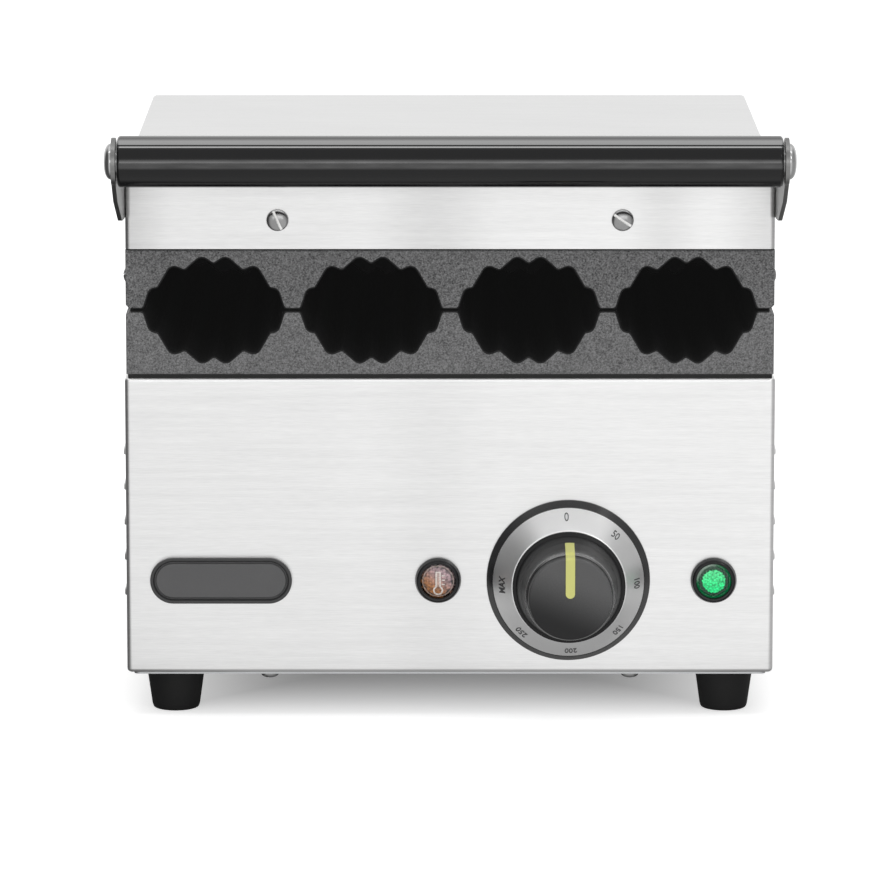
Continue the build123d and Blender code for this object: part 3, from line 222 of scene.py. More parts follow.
def on_panel(x, z, lift=0.0):
    """Placer of (across, up, forward) numbers round a point of the front panel."""
    return lambda across, up, forward: np.stack([x + across, PANEL_Y - lift - forward, z + up], axis=-1)


def linked(name, data):
    """New object of the scene with that data."""
    made = bpy.data.objects.new(name, data)
    bpy.context.scene.collection.objects.link(made)
    return made


def evaluated_mesh(made):
    """New mesh of an object as its modifiers, or its letters, give it."""
    bpy.context.view_layer.update()
    graph = bpy.context.evaluated_depsgraph_get()
    return bpy.data.meshes.new_from_object(made.evaluated_get(graph))


def piece(name, node, surfaces, sharp=35.0, closed=True, thickness=0.0, merge=MERGE, **dress):
    """Object of joined surfaces: doubles merged, normals outwards, smooth with sharp edges kept.

    It is dressed as the node is. A thickness is added inwards from an open sheet, whose faces already
    point outwards.
    """
    starts = np.cumsum([0] + [len(points) for points, _ in surfaces])
    points = np.concatenate([points for points, _ in surfaces])
    faces = [[start + corner for corner in face]
             for start, (_, faces) in zip(starts, surfaces) for face in faces]
    mesh = bpy.data.meshes.new(name)
    mesh.from_pydata(points.tolist(), [], faces)
    shape = bmesh.new()
    shape.from_mesh(mesh)
    bmesh.ops.remove_doubles(shape, verts=shape.verts, dist=merge)
    if closed:
        bmesh.ops.recalc_face_normals(shape, faces=shape.faces)
    shape.to_mesh(mesh)
    shape.free()
    made = linked(name, mesh)
    if thickness:
        sheet = made.modifiers.new("sheet", "SOLIDIFY")
        sheet.thickness = thickness
        sheet.offset = -1.0
        sheet.use_even_offset = True
        applied(made)
    smoothed(made, sharp)
    return dressed(made, node, **dress)


def applied(made):
    """Replaces an object's mesh by what its modifiers give."""
    mesh = evaluated_mesh(made)
    made.modifiers.clear()
    made.data = mesh


def smoothed(made, sharp):
    """Shades smooth, with edges over that many degrees left sharp and large faces kept flat."""
    made.data.shade_smooth()
    made.data.set_sharp_from_angle(angle=math.radians(sharp))
    weight = made.modifiers.new("flat", "WEIGHTED_NORMAL")
    weight.mode = "FACE_AREA"
    weight.keep_sharp = True
    applied(made)


def dressed(made, node, finish="", rides=True, replaces=True):
    """Gives a new piece the slot of a node, its finish or the one named, and its body.

    It replaces the node, unless it only adds to it.
    """
    record = frame["record"]
    body = next(name for name, nodes in record["behaviour"]["bodies"].items() if node in nodes)
    slot = next(row["material_slot"] for row in record["subparts"] if row["node"] == node)
    made.data.materials.clear()
    made.data.materials.append(finish_of(finish or slot))
    if rides:
        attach(made, body)
    if replaces:
        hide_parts(node)
    return made


def welded(node):
    """Copy of a node's mesh for editing, with its doubles merged."""
    shape = bmesh.new()
    shape.from_mesh(frame["nodes"][node].data)
    bmesh.ops.remove_doubles(shape, verts=shape.verts, dist=MERGE)
    return shape


def softened(node, name, width):
    """A node with whole flat faces and its edges rounded to that width, in place of the node."""
    shape = welded(node)
    bmesh.ops.dissolve_limit(shape, angle_limit=math.radians(1.0), verts=shape.verts, edges=shape.edges)
    mesh = bpy.data.meshes.new(name)
    shape.to_mesh(mesh)
    shape.free()
    made = linked(name, mesh)
    bevel = made.modifiers.new("edges", "BEVEL")
    bevel.width = width
    bevel.segments = 3
    bevel.limit_method = "ANGLE"
    bevel.angle_limit = math.radians(32)
    bevel.use_clamp_overlap = True
    applied(made)
    smoothed(made, 40.0)
    return dressed(made, node)


def solids_of(node):
    """Points of each separate solid of a node, one array a solid."""
    shape = welded(node)
    shape.verts.ensure_lookup_table()
    solids, seen = [], set()
    for start in shape.verts:
        if start in seen:
            continue
        group, waiting = [], [start]
        seen.add(start)
        while waiting:
            vert = waiting.pop()
            group.append(vert.co[:])
            for link in vert.link_edges:
                other = link.other_vert(vert)
                if other not in seen:
                    seen.add(other)
                    waiting.append(other)
        solids.append(np.array(group))
    shape.free()
    return solids


# Height of the font's capitals in its own units
CAPITALS = 0.7


def lettering(text, height, thickness, bolder=0.0):
    """Points and faces of a line of plain letters, centred and that high.

    Bolder is how far the outlines of its strokes move out.
    """
    curve = bpy.data.curves.new("lettering", "FONT")
    curve.body = text
    curve.align_x = "CENTER"
    curve.extrude = 0.5
    curve.offset = bolder / height * CAPITALS
    curve.resolution_u = 6
    holder = linked("lettering", curve)
    mesh = evaluated_mesh(holder)
    points = np.zeros(3 * len(mesh.vertices))
    mesh.vertices.foreach_get("co", points)
    points = points.reshape(-1, 3)
    faces = [list(polygon.vertices) for polygon in mesh.polygons]
    bpy.data.objects.remove(holder)
    bpy.data.meshes.remove(mesh)
    low, high = points.min(axis=0), points.max(axis=0)
    scale = height / (high[1] - low[1])
    flat = (points[:, :2] - (low + high)[:2] / 2) * scale
    return np.column_stack([flat, (points[:, 2] > 0) * thickness]), faces


# Shader maths


class Wire:
    """One output of a shader node; an expression on wires and numbers adds its Math nodes."""

    def __init__(self, finish, socket):
        self.finish = finish
        self.socket = socket

    def math(self, operation, *values):
        """A Math node of that operation on wires and numbers."""
        return self.finish.add("ShaderNodeMath", {"operation": operation}, dict(enumerate(values)))

    def __add__(self, other):
        return self.math("ADD", self, other)

    def __radd__(self, other):
        return self.math("ADD", other, self)

    def __sub__(self, other):
        return self.math("SUBTRACT", self, other)

    def __rsub__(self, other):
        return self.math("SUBTRACT", other, self)

    def __mul__(self, other):
        return self.math("MULTIPLY", self, other)

    def __rmul__(self, other):
        return self.math("MULTIPLY", other, self)

    def __truediv__(self, other):
        return self.math("DIVIDE", self, other)

    def __pow__(self, other):
        return self.math("POWER", self, other)

    def __abs__(self):
        return self.math("ABSOLUTE", self)

    def over(self, limit):
        """1 where the value is above the limit, else 0."""
        return self.math("GREATER_THAN", self, limit)

    def under(self, limit):
        """1 where the value is below the limit, else 0."""
        return self.math("LESS_THAN", self, limit)

    def near(self, centre, half):
        """1 where the value is within half of a centre, else 0."""
        return abs(self - centre).under(half)

    def largest(self, other):
        """The larger of two values."""
        return self.math("MAXIMUM", self, other)

    def sine(self):
        """Sine of an angle."""
        return self.math("SINE", self)

    def between(self, rise, fall, left=0.0):
        """0 below a rise and 1 up to a fall, each a pair of values; left is what stays past the fall."""
        return self.ramp(*rise) * self.ramp(*fall, 1.0, left)

    def ramp(self, low, high, out_low=0.0, out_high=1.0):
        """The value carried smoothly from low..high to out_low..out_high, and held outside."""
        return self.finish.add("ShaderNodeMapRange", {"interpolation_type": "SMOOTHSTEP"}, {
            "Value": self, "From Min": low, "From Max": high, "To Min": out_low, "To Max": out_high})


def ink(colour):
    """A colour as a node takes it: a wire as it is, and numbers with an alpha of 1."""
    return colour if isinstance(colour, Wire) else (*colour[:3], 1.0)


class Finish:
    """A material, or a world, while its nodes are being added."""

    def __init__(self, name, world=None):
        self.material = world or bpy.data.materials.new(name)
        self.material.use_nodes = True
        self.tree = self.material.node_tree
        self.tree.nodes.clear()

    def add(self, kind, settings=None, inputs=None, output=0):
        """Adds a node of that type: settings first, then the values or links of its sockets."""
        node = self.tree.nodes.new(kind)
        for key, value in (settings or {}).items():
            setattr(node, key, value)
        for key, value in (inputs or {}).items():
            if isinstance(value, Wire):
                self.tree.links.new(value.socket, node.inputs[key])
            else:
                node.inputs[key].default_value = value
        return Wire(self, node.outputs[output])

    def split(self, vector):
        """The three wires of a vector."""
        separate = self.add("ShaderNodeSeparateXYZ", inputs={"Vector": vector}).socket.node
        return [Wire(self, output) for output in separate.outputs]

    def joined(self, x, y, z):
        """One vector of three wires or numbers."""
        return self.add("ShaderNodeCombineXYZ", inputs={"X": x, "Y": y, "Z": z})

    def place(self, centre=(0.0, 0.0, 0.0)):
        """Object coordinates from a centre as three wires, in metres."""
        wires = self.split(self.add("ShaderNodeTexCoord", output="Object"))
        return [wire - float(start) for wire, start in zip(wires, centre)]

    def polar(self, across, up):
        """Distance and angle of two wires from their origin."""
        distance = (across * across + up * up) ** 0.5
        return distance, across.math("ARCTAN2", up, across)

    def facing(self):
        """How far the true surface faces each axis, as three wires from 0 to 1."""
        return [abs(wire) for wire in self.split(self.add("ShaderNodeNewGeometry", output="True Normal"))]

    def noise(self, x, y, z, detail=2.0, roughness=0.5):
        """Noise from 0 to 1 at a point given in its own cells."""
        return self.add("ShaderNodeTexNoise", inputs={
            "Vector": self.joined(x, y, z), "Scale": 1.0, "Detail": detail, "Roughness": roughness})

    def grain(self, place, sizes, detail=2.0, roughness=0.5):
        """Noise from 0 to 1 at a place, with cells of one size or of one for each axis, in millimetres."""
        cells = [wire / (float(size) * MM) for wire, size in zip(place, np.broadcast_to(sizes, 3))]
        return self.noise(*cells, detail, roughness)

    def pebbles(self, across, up, pitch):
        """Distance from the middle of the nearest pebble of a face, in pebbles."""
        return self.add("ShaderNodeTexVoronoi", {"feature": "SMOOTH_F1"}, {
            "Vector": self.joined(across / pitch, 0.0, up / pitch), "Scale": 1.0, "Smoothness": 0.3,
            "Randomness": 0.8})

    def tone(self, colour, lightness):
        """A colour made lighter or darker by a wire around 1."""
        shade = self.add("ShaderNodeCombineColor", inputs={0: lightness, 1: lightness, 2: lightness})
        multiply = {"data_type": "RGBA", "blend_type": "MULTIPLY", "clamp_result": False}
        return self.add("ShaderNodeMix", multiply, {0: 1.0, 6: ink(colour), 7: shade}, output=2)

    def mixed(self, first, second, share):
        """Two colours mixed by a wire, all of the second where it is 1."""
        return self.add("ShaderNodeMix", {"data_type": "RGBA"}, {0: share, 6: ink(first), 7: ink(second)},
                        output=2)

    def bump(self, height, depth, strength):
        """Normal of a surface that rises by depth metres where the height wire goes from 0 to 1."""
        return self.add("ShaderNodeBump", inputs={
            "Strength": strength, "Distance": depth, "Height": height})

    def glow(self, strength, kind="ShaderNodeEmission"):
        """White light of a strength."""
        return self.add(kind, inputs={"Color": (1.0, 1.0, 1.0, 1.0), "Strength": strength})

    def done(self, colour, roughness, normal=None, **sockets):
        """Ends the material in a Principled surface and returns it. Other sockets go by name."""
        inputs = {"Base Color": ink(colour), "Roughness": roughness}
        if normal is not None:
            inputs["Normal"] = normal
        inputs.update({name.replace("_", " "): value for name, value in sockets.items()})
        shader = self.add("ShaderNodeBsdfPrincipled", inputs=inputs)
        self.add_output(shader)
        return self.material

    def add_output(self, shader, kind="ShaderNodeOutputMaterial"):
        """Links a shader to the output of the material or the world."""
        end = self.tree.nodes.new(kind)
        self.tree.links.new(shader.socket, end.inputs["Surface"])


# Finishes


def brushed_steel(name, colour, roughness, dark_reflections=(), edges=0.0):
    """Steel with fine brush lines: level on upright faces and from side to side on flat ones.

    Broad upright bands are painted reflections, soft bands of light and shade, and a slow cloud varies
    the tone at random. A painted dark reflection of (x, half its width, depth, lowest z, highest z) is
    a duller upright band across the front. Edges is how much painted shade darkens a bracket's faces,
    all but the faces at its sides.
    """
    line, contrast, bands = 0.45 * MM, 0.34, 0.05
    finish = Finish(name)
    x, y, z = place = finish.place()
    flat = finish.facing()[2].over(0.7)
    across = flat * y + (1.0 - flat) * z
    along = flat * x + (1.0 - flat) * (x + y)
    fine = finish.noise(along / (8 * MM), across / line, 0.0, 3.0, 0.6)
    broad = finish.noise(along / (60 * MM), across / (4 * line), 3.7, 2.0)
    # Painted reflection: broad upright bands of light and shade across the steel
    wave = finish.noise((x + y) / (55 * MM), flat * (y / (55 * MM)), 9.1, 1.0)
    cloud = finish.grain(place, (90, 90, 60), 1.0)
    lines = 0.6 * fine + 0.4 * broad
    light = 1.0 + contrast * (lines - 0.5) + bands * (wave - 0.5) + 0.4 * bands * (cloud - 0.5)
    front = y.under(PANEL_Y + 2 * MM)
    # Painted dark reflections: duller upright bands across the front
    for centre, half, depth, low, high in dark_reflections:
        dark_reflection = abs(x - centre).ramp(0.0, half, depth, 0.0)
        light = light - front * dark_reflection * z.over(low) * z.under(high)
    # Painted shade: a bracket's faces that don't face its sides are darker
    if edges:
        light = light - edges * finish.facing()[0].under(0.5)
    return finish.done(
        finish.tone(colour, light),
        roughness + 0.16 * (lines - 0.5),
        finish.bump(lines, 0.01 * MM, 0.5),
        Metallic=1.0,
    )


def turned_steel(name, colour, roughness):
    """Lightly polished metal with a faint uneven sheen, for screws, pins and tubes."""
    finish = Finish(name)
    place = finish.place()
    grain = finish.grain(place, 0.5, 3.0)
    cloud = finish.grain(place, 4, 1.0)
    return finish.done(
        finish.tone(colour, 0.9 + 0.2 * cloud),
        roughness + 0.15 * (grain - 0.5),
        finish.bump(grain, 0.01 * MM, 0.4),
        Metallic=1.0,
    )


def moulded(name, colour, roughness, grain=0.6, depth=0.01 * MM, **sockets):
    """Moulded plastic or rubber: a grain of that many millimetres in its surface and its roughness."""
    finish = Finish(name)
    place = finish.place()
    fine = finish.grain(place, grain)
    cloud = finish.grain(place, 30, 1.0)
    return finish.done(
        finish.tone(colour, 0.9 + 0.2 * cloud),
        roughness + 0.12 * (fine - 0.5) + 0.06 * (cloud - 0.5),
        finish.bump(fine, depth, 0.6),
        **sockets,
    )


def knob_face(name, colour, lit_face_colour):
    """Black moulding whose face is painted paler towards its top and right: painted light from above.

    The lip round the face is polished.
    """
    face_height = 42.2 * MM
    finish = Finish(name)
    x, y, z = place = finish.place(middle("control_knob"))
    fine = finish.grain(place, 0.6)
    face = (PANEL_Y - middle("control_knob")[1] - face_height - y).over(0.0)
    # Painted light: the face paler towards its top and right
    painted_top_light = face * (z + 0.4 * x).ramp(-15 * MM, 12 * MM) * (0.8 + 0.4 * fine)
    distance, _ = finish.polar(x, z)
    lip = distance.between((18.9 * MM, 19.1 * MM), (19.7 * MM, 20.1 * MM))
    return finish.done(
        finish.mixed(colour, lit_face_colour, painted_top_light),
        0.33 + 0.1 * (fine - 0.5) + 0.05 * face,
        finish.bump(fine, 0.01 * MM, 0.6),
        Specular_IOR_Level=0.27,
        Coat_Weight=lip,
        Coat_Roughness=0.12,
        Coat_IOR=2.4,
    )


def polished_bar(name, colour):
    """Black phenolic bar, polished where hands rub it: along its top and in a band down its front.

    The heights are over the bar's middle.
    """
    finish = Finish(name)
    x, y, z = place = finish.place(middle("handle_grip"))
    grain = finish.grain(place, (2, 0.7, 0.7))
    top = z.between((8.25 * MM, 8.45 * MM), (9.6 * MM, 10.5 * MM), 0.45)
    line = z.between((7.1 * MM, 7.3 * MM), (7.6 * MM, 7.8 * MM))
    rubbed = finish.noise(x / (14 * MM), 0.0, z / (2 * MM), 3.0)
    band = y.under(0.0) * z.between((-2.4 * MM, -1.0 * MM), (0.6 * MM, 2.6 * MM)) * (0.4 + 1.2 * rubbed)
    return finish.done(
        colour,
        0.13 + 0.08 * (grain - 0.5),
        finish.bump(grain, 0.004 * MM, 0.6),
        Specular_IOR_Level=0.27,
        Coat_Weight=top.largest(0.6 * line).largest(0.23 * band),
        Coat_Roughness=0.07,
        Coat_IOR=3.0,
    )


def enamel(name, colour):
    """Grey enamel over a sandy casting: light and dark grains a millimetre wide and slow patches.

    The lower plate is painted a little paler than the upper one: painted light on it.
    """
    finish = Finish(name)
    place = finish.place()
    sand = finish.grain(place, (0.75, 0.75, 0.7), 3.0, 0.65)
    coarse = finish.grain(place, (3, 3, 2))
    cloud = finish.grain(place, (25, 25, 12))
    # Painted light: the lower plate a little paler than the upper one
    lower = place[2].ramp(SPLIT_Z - MM, SPLIT_Z + MM, 0.2, 0.0)
    light = 1.0 + 4.2 * (sand - 0.5) + 0.5 * (coarse - 0.5) + 0.25 * (cloud - 0.5) + lower
    return finish.done(
        finish.tone(colour, light),
        0.6 + 0.2 * (sand - 0.5),
        finish.bump(sand, 0.35 * MM, 1.0),
        Specular_IOR_Level=0.35,
    )


def channel_coat(name, colour):
    """Black non-stick coat inside the channels, a little uneven where it has run into the flutes.

    A very faint glow stands for the light that finds its way between the closed plates.
    """
    finish = Finish(name)
    place = finish.place()
    sand = finish.grain(place, 0.8, 3.0)
    runs = finish.grain(place, (6, 40, 6))
    return finish.done(
        finish.tone(colour, 0.75 + 0.5 * runs),
        0.5 + 0.15 * (runs - 0.5) + 0.1 * (sand - 0.5),
        finish.bump(sand, 0.03 * MM, 0.5),
        Specular_IOR_Level=0.25,
        Emission_Color=(1.0, 1.0, 1.0, 1.0),
        Emission_Strength=0.0042,
    )


def turned_dial(name, colour):
    """Turned aluminium: rings round the dial's middle, with a faint sheen that varies round it."""
    finish = Finish(name)
    x, _, z = finish.place((DIAL_X, 0.0, CONTROL_Z))
    distance, angle = finish.polar(x, z)
    rings = finish.noise(distance / (0.12 * MM), 0.0, 0.0, 3.0)
    sheen = finish.noise(angle * 1.5, distance / (30 * MM), 4.0, 1.0)
    return finish.done(
        finish.tone(colour, 0.97 + 0.08 * (rings - 0.5) + 0.1 * (sheen - 0.5)),
        0.38 + 0.12 * (rings - 0.5),
        finish.bump(rings, 0.01 * MM, 0.5),
        Metallic=1.0,
    )


def lit_lens(name, centre_x, glow, dark):
    """Green lens of a lit lamp: a bright pebbled middle with a scalloped edge in a dark ring.

    Past the ring the outer edge is a little lighter, where the lens turns down to its bezel.
    """
    finish = Finish(name)
    x, _, z = finish.place((centre_x, 0.0, CONTROL_Z))
    distance, angle = finish.polar(x, z)
    pebble = finish.pebbles(x, z, 0.85 * MM)
    scallops = 22.0
    scallop = distance + 0.12 * MM * (angle * scallops).sine() + 0.5 * MM * (pebble - 0.4)
    lit = 1.0 - scallop.ramp(4.9 * MM, 5.5 * MM)
    rim = distance.ramp(6.3 * MM, 7.2 * MM)
    sheen = rim * (z - 0.8 * x).ramp(4.5 * MM, 8.5 * MM)
    rim_colour, sheen_colour = [0.35 * c for c in glow], (0.5, 0.56, 0.52)
    paler = [0.85 * c + 0.06 for c in glow]
    edge_colour = finish.mixed(finish.mixed(dark, rim_colour, 0.55 * rim), sheen_colour, 0.6 * sheen)
    colour = finish.mixed(edge_colour, finish.mixed(glow, paler, z.ramp(-4 * MM, 5 * MM)), lit)
    light = finish.tone(colour, 0.22 + 0.64 * lit - 2.2 * (pebble - 0.35) * lit + 0.1 * rim)
    return finish.done(
        colour,
        0.18 + 0.1 * pebble,
        finish.bump(1.0 - pebble, 0.25 * MM, 0.6),
        Emission_Color=light,
        Emission_Strength=0.75,
        Coat_Weight=0.15,
    )


def unlit_lens(name, centre_x, colour, mark):
    """Amber lens of an unlit lamp, pebbled, with a pale thermometer: a bulb, a tube and three ticks.

    Its amber is deep at the lower left and painted paler, nearly lilac, at the upper right: a painted
    reflection. Painted shade darkens the pebbles' edges, a band inside the edge and the brown rim past it,
    and a light ring near the edge is a painted highlight.
    """
    finish = Finish(name)
    x, _, z = finish.place((centre_x, 0.0, CONTROL_Z))
    distance, _ = finish.polar(x, z)
    bulb, _ = finish.polar(x, z + 4.1 * MM)
    pebble = finish.pebbles(x, z, 1.25 * MM)
    # The mark: an open ring for the bulb, two walls and a top for the tube, and ticks at its right
    tube_half, line_half, tick_half = 0.9 * MM, 0.3 * MM, 0.27 * MM
    along_tube, along_ticks = z.near(0.9 * MM, 3.2 * MM), x.near(2.3 * MM, 0.7 * MM)
    ring = bulb.near(1.9 * MM, 0.35 * MM) * (1.0 - (abs(x).under(0.65 * MM) * z.over(-3.2 * MM)))
    tube = abs(x).near(tube_half, line_half) * along_tube
    top = z.near(4.1 * MM, line_half) * abs(x).under(1.1 * MM)
    ticks = along_ticks * abs(z - 1.6 * MM).near(1.0 * MM, tick_half)
    lowest_tick = along_ticks * z.near(-1.4 * MM, tick_half)
    print_share = ring.largest(tube).largest(top).largest(ticks).largest(lowest_tick)
    inside = abs(x).under(tube_half) * along_tube
    # Painted reflection: paler, nearly lilac, towards the upper right
    painted_reflection_tint = finish.mixed(colour, (0.75, 0.52, 0.56), (z + 0.7 * x).ramp(-6 * MM, 6 * MM))
    # Painted shade: the pebbles darker at their edges, a band inside the edge and the rim past it
    level = 0.1 + 1.25 * (1.0 - pebble)
    level = level - 0.4 * distance.ramp(5.6 * MM, 6.4 * MM) - 0.2 * distance.ramp(7.1 * MM, 7.4 * MM)
    # Painted highlight: a light ring near the edge
    painted_highlight_ring = abs(distance - 6.85 * MM).ramp(0.1 * MM, 0.4 * MM, 0.55, 0.0)
    # The pale colour is the painted highlight ring, and it half fills the printed tube
    shade = finish.mixed(finish.tone(painted_reflection_tint, level), (0.85, 0.68, 0.6), painted_highlight_ring.largest(0.5 * inside))
    return finish.done(
        finish.mixed(shade, mark, 0.95 * print_share),
        0.2 + 0.1 * pebble,
        finish.bump(1.0 - pebble, 0.25 * MM, 0.6),
        Coat_Weight=0.4,
    )


def plate_face(name, colour, rim):
    """Satin black name plate: a fine grain in its lighter field and a smoother dark rim."""
    finish = Finish(name)
    low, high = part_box("name_plate")
    x, _, z = place = finish.place((low + high) / 2)
    grain = finish.grain(place, 0.35)
    cloud = finish.grain(place, 12, 1.0)
    # The plate's ends are half circles of this radius, and its rim is measured from their middles
    end, rim_width = (high[2] - low[2]) / 2, 2.2 * MM
    distance, _ = finish.polar((abs(x) - ((high[0] - low[0]) / 2 - end)).largest(0.0), z)
    raised = distance.over(end - rim_width)
    return finish.done(
        finish.mixed(finish.tone(colour, 0.8 + 0.3 * grain + 0.1 * cloud), rim, raised),
        0.45 + 0.12 * (grain - 0.5) - 0.2 * raised,
        finish.bump(grain * (1.0 - raised), 0.03 * MM, 0.5),
    )


def finish_of(slot):
    """The material of a record slot or of a finish named below, made once."""
    name = f"{slot}_finish"
    return bpy.data.materials.get(name) or SLOT_FINISHES[slot](name)


class GrillColours(bpy.types.PropertyGroup):
    """Colours of the pieces that are seen first"""

    steel: FloatVectorProperty(
        name="Steel", description="Cabinet and lid cover", default=(0.775, 0.775, 0.773), subtype="COLOR")
    enamel: FloatVectorProperty(
        name="Enamel", description="Faces of the cast plates", default=(0.170, 0.170, 0.172),
        subtype="COLOR")
    coat: FloatVectorProperty(
        name="Coat", description="Inside of the channels", default=(0.013, 0.013, 0.0135), subtype="COLOR")
    handle: FloatVectorProperty(
        name="Handle", description="Handle bar", default=(0.008, 0.008, 0.0085), subtype="COLOR")
    knob: FloatVectorProperty(
        name="Knob", description="Thermostat knob", default=(0.010, 0.010, 0.0105), subtype="COLOR")
    pointer: FloatVectorProperty(
        name="Pointer", description="Index on the knob", default=(0.80, 0.80, 0.26), subtype="COLOR")
    dial: FloatVectorProperty(
        name="Dial", description="Cone with the numbers", default=(0.90, 0.90, 0.90), subtype="COLOR")
    numbers: FloatVectorProperty(
        name="Numbers", description="Print on the dial", default=(0.04, 0.04, 0.042), subtype="COLOR")
    lit_lamp: FloatVectorProperty(
        name="Lit lamp", description="Lens of the right lamp", default=(0.01, 0.72, 0.22), subtype="COLOR")
    unlit_lamp: FloatVectorProperty(
        name="Unlit lamp", description="Lens of the left lamp", default=(0.62, 0.23, 0.05),
        subtype="COLOR")
    name_plate: FloatVectorProperty(
        name="Name plate", description="Field of the bare plate", default=(0.108, 0.108, 0.11),
        subtype="COLOR")
    feet: FloatVectorProperty(
        name="Feet", description="Rubber feet", default=(0.014, 0.014, 0.014), subtype="COLOR")


def paint(name):
    """One of the colours that a user would change."""
    return tuple(getattr(bpy.context.scene.grill_colours, name))


# Painted dark reflections, duller upright bands on the front:
# x, half its width, depth, lowest z, highest z
LID_SPAN, BODY_SPAN = (LID_LOW_Z, LID_TOP_Z), (BODY_LOW_Z, BODY_TOP_Z)
PAINTED_DARK_REFLECTIONS = (
    (-8 * MM, 34 * MM, 0.05, *BODY_SPAN),
    (-8 * MM, 34 * MM, 0.13, *LID_SPAN),
    (94 * MM, 20 * MM, 0.1, *LID_SPAN),
    (-144 * MM, 24 * MM, 0.2, *LID_SPAN),
    (144 * MM, 28 * MM, 0.18, *LID_SPAN),
    (-200 * MM, 450 * MM, 0.06, *LID_SPAN),
)

SLOT_FINISHES = {
    "stainless": lambda name: brushed_steel(name, paint("steel"), 0.32, PAINTED_DARK_REFLECTIONS),
    "plated_steel": lambda name: brushed_steel(name, (0.55, 0.56, 0.57), 0.45),
    "screw_steel": lambda name: turned_steel(name, (0.30, 0.30, 0.30), 0.22),
    "lamp_black": lambda name: moulded(name, (0.010, 0.010, 0.011), 0.22, Specular_IOR_Level=0.3),
    # Bright steel of the painted highlights in the screws' slots
    "slot_steel": lambda name: turned_steel(name, (0.78, 0.78, 0.77), 0.4),
    "bolt_steel": lambda name: turned_steel(name, (0.46, 0.46, 0.46), 0.14),
    "hinge_steel": lambda name: brushed_steel(name, (0.68, 0.68, 0.67), 0.36),
    # The bracket's steel, with painted shade on its edge faces
    "bracket_steel": lambda name: brushed_steel(name, (0.47, 0.47, 0.465), 0.34, edges=0.55),
    "cast_plate": lambda name: enamel(name, paint("enamel")),
    "channel_coat": lambda name: channel_coat(name, paint("coat")),
    "seal": lambda name: moulded(name, (0.02, 0.02, 0.02), 0.8),
    "element_tube": lambda name: turned_steel(name, (0.25, 0.23, 0.22), 0.45),
    "mineral_board": lambda name: moulded(name, (0.72, 0.70, 0.64), 0.95, 2.0, 0.1 * MM),
    "switch_body": lambda name: moulded(name, (0.70, 0.68, 0.62), 0.5),
    "capillary_copper": lambda name: turned_steel(name, (0.72, 0.40, 0.25), 0.3),
    "terminal_brass": lambda name: turned_steel(name, (0.78, 0.60, 0.30), 0.3),
    "black_moulding": lambda name: moulded(name, (0.014, 0.014, 0.015), 0.2, Coat_Weight=0.3),
    # The paler grey is the painted light on the knob's face
    "knob_moulding": lambda name: knob_face(name, paint("knob"), (0.13, 0.13, 0.131)),
    "pointer_yellow": lambda name: moulded(name, paint("pointer"), 0.45),
    "dial_aluminium": lambda name: turned_dial(name, paint("dial")),
    "dial_print": lambda name: moulded(name, paint("numbers"), 0.3, 0.3, Specular_IOR_Level=0.8),
    "green_lens": lambda name: lit_lens(
        name, middle("power_lamp_lens")[0], paint("lit_lamp"), (0.0, 0.05, 0.02)),
    "amber_lens": lambda name: unlit_lens(
        name, middle("heat_lamp_lens")[0], paint("unlit_lamp"), (0.98, 0.90, 0.84)),
    "name_plate_black": lambda name: plate_face(name, paint("name_plate"), (0.04, 0.04, 0.041)),
    "foot_rubber": lambda name: moulded(name, paint("feet"), 0.65, Specular_IOR_Level=0.3),
    "gland_nylon": lambda name: moulded(name, (0.03, 0.03, 0.03), 0.5),
    "hose_steel": lambda name: turned_steel(name, (0.5, 0.5, 0.51), 0.3),
    "wire_sleeve": lambda name: moulded(name, (0.75, 0.73, 0.70), 0.9),
    "handle_phenolic": lambda name: polished_bar(name, paint("handle")),
}


# Stage


class GrillStage(bpy.types.PropertyGroup):
    """Camera and light"""

    camera_distance: FloatProperty(
        name="Camera distance", description="From the camera to the front panel", default=2.6,
        unit="LENGTH")
    camera_height: FloatProperty(
        name="Camera height", description="Of the camera over the table", default=0.6, unit="LENGTH")
    camera_tilt: FloatProperty(
        name="Camera tilt", description="How far the camera looks down", default=math.radians(10.3),
        subtype="ANGLE")
    camera_x: FloatProperty(
        name="Camera offset", description="Of the camera to the right", default=-5.35 * MM, unit="LENGTH")
    focal_length: FloatProperty(
        name="Focal length", description="In millimetres on a 36 mm sensor", default=243.43)
    softbox: FloatProperty(
        name="Softbox", description="Radiance of the large lamp overhead", default=0.35)
    strip: FloatProperty(
        name="Strip lamp", description="Radiance of the narrow lamp above", default=1.8)
    card: FloatProperty(
        name="Front card", description="Radiance of the wide card behind the camera", default=1.3)
    spot: FloatProperty(
        name="Side lamp", description="Radiance of the small lamp at the front right", default=4.0)
    fill: FloatProperty(
        name="Room light", description="Strength of the room's even light", default=0.55)
    horizon: FloatProperty(
        name="Horizon", description="Strength of the far floor and low room in mirrors", default=0.98)
    ceiling: FloatProperty(
        name="Ceiling", description="Strength of the room overhead in mirrors", default=0.85)
    left_flag: FloatProperty(
        name="Left flag", description="Share of light left in mirrors towards the left", default=0.14)
    right_flag: FloatProperty(
        name="Right flag", description="Share of light left in mirrors towards the right", default=0.5)
    # Painted shadow: the least glow of the floor under the object for the camera
    floor_under: FloatProperty(
        name="Floor glow", description="Glow of the floor under the object for the camera", default=0.15)


def rays_of(finish):
    """1 for the camera's rays, and 1 for rays that a mirror or glass sends on."""
    rays = finish.add("ShaderNodeLightPath").socket.node.outputs
    mirrored = Wire(finish, rays["Is Glossy Ray"]).largest(Wire(finish, rays["Is Transmission Ray"]))
    return Wire(finish, rays["Is Camera Ray"]), mirrored


def side_level(across, stage):
    """Share of the light that a mirror finds towards a side, where dark flags stand.

    Across is 0 straight ahead and 1 straight to the right.
    """
    start, end = 0.55, 0.9
    left = (0.0 - across).ramp(start, end, 1.0, stage.left_flag)
    right = across.ramp(start, end, 1.0, stage.right_flag)
    return left * right


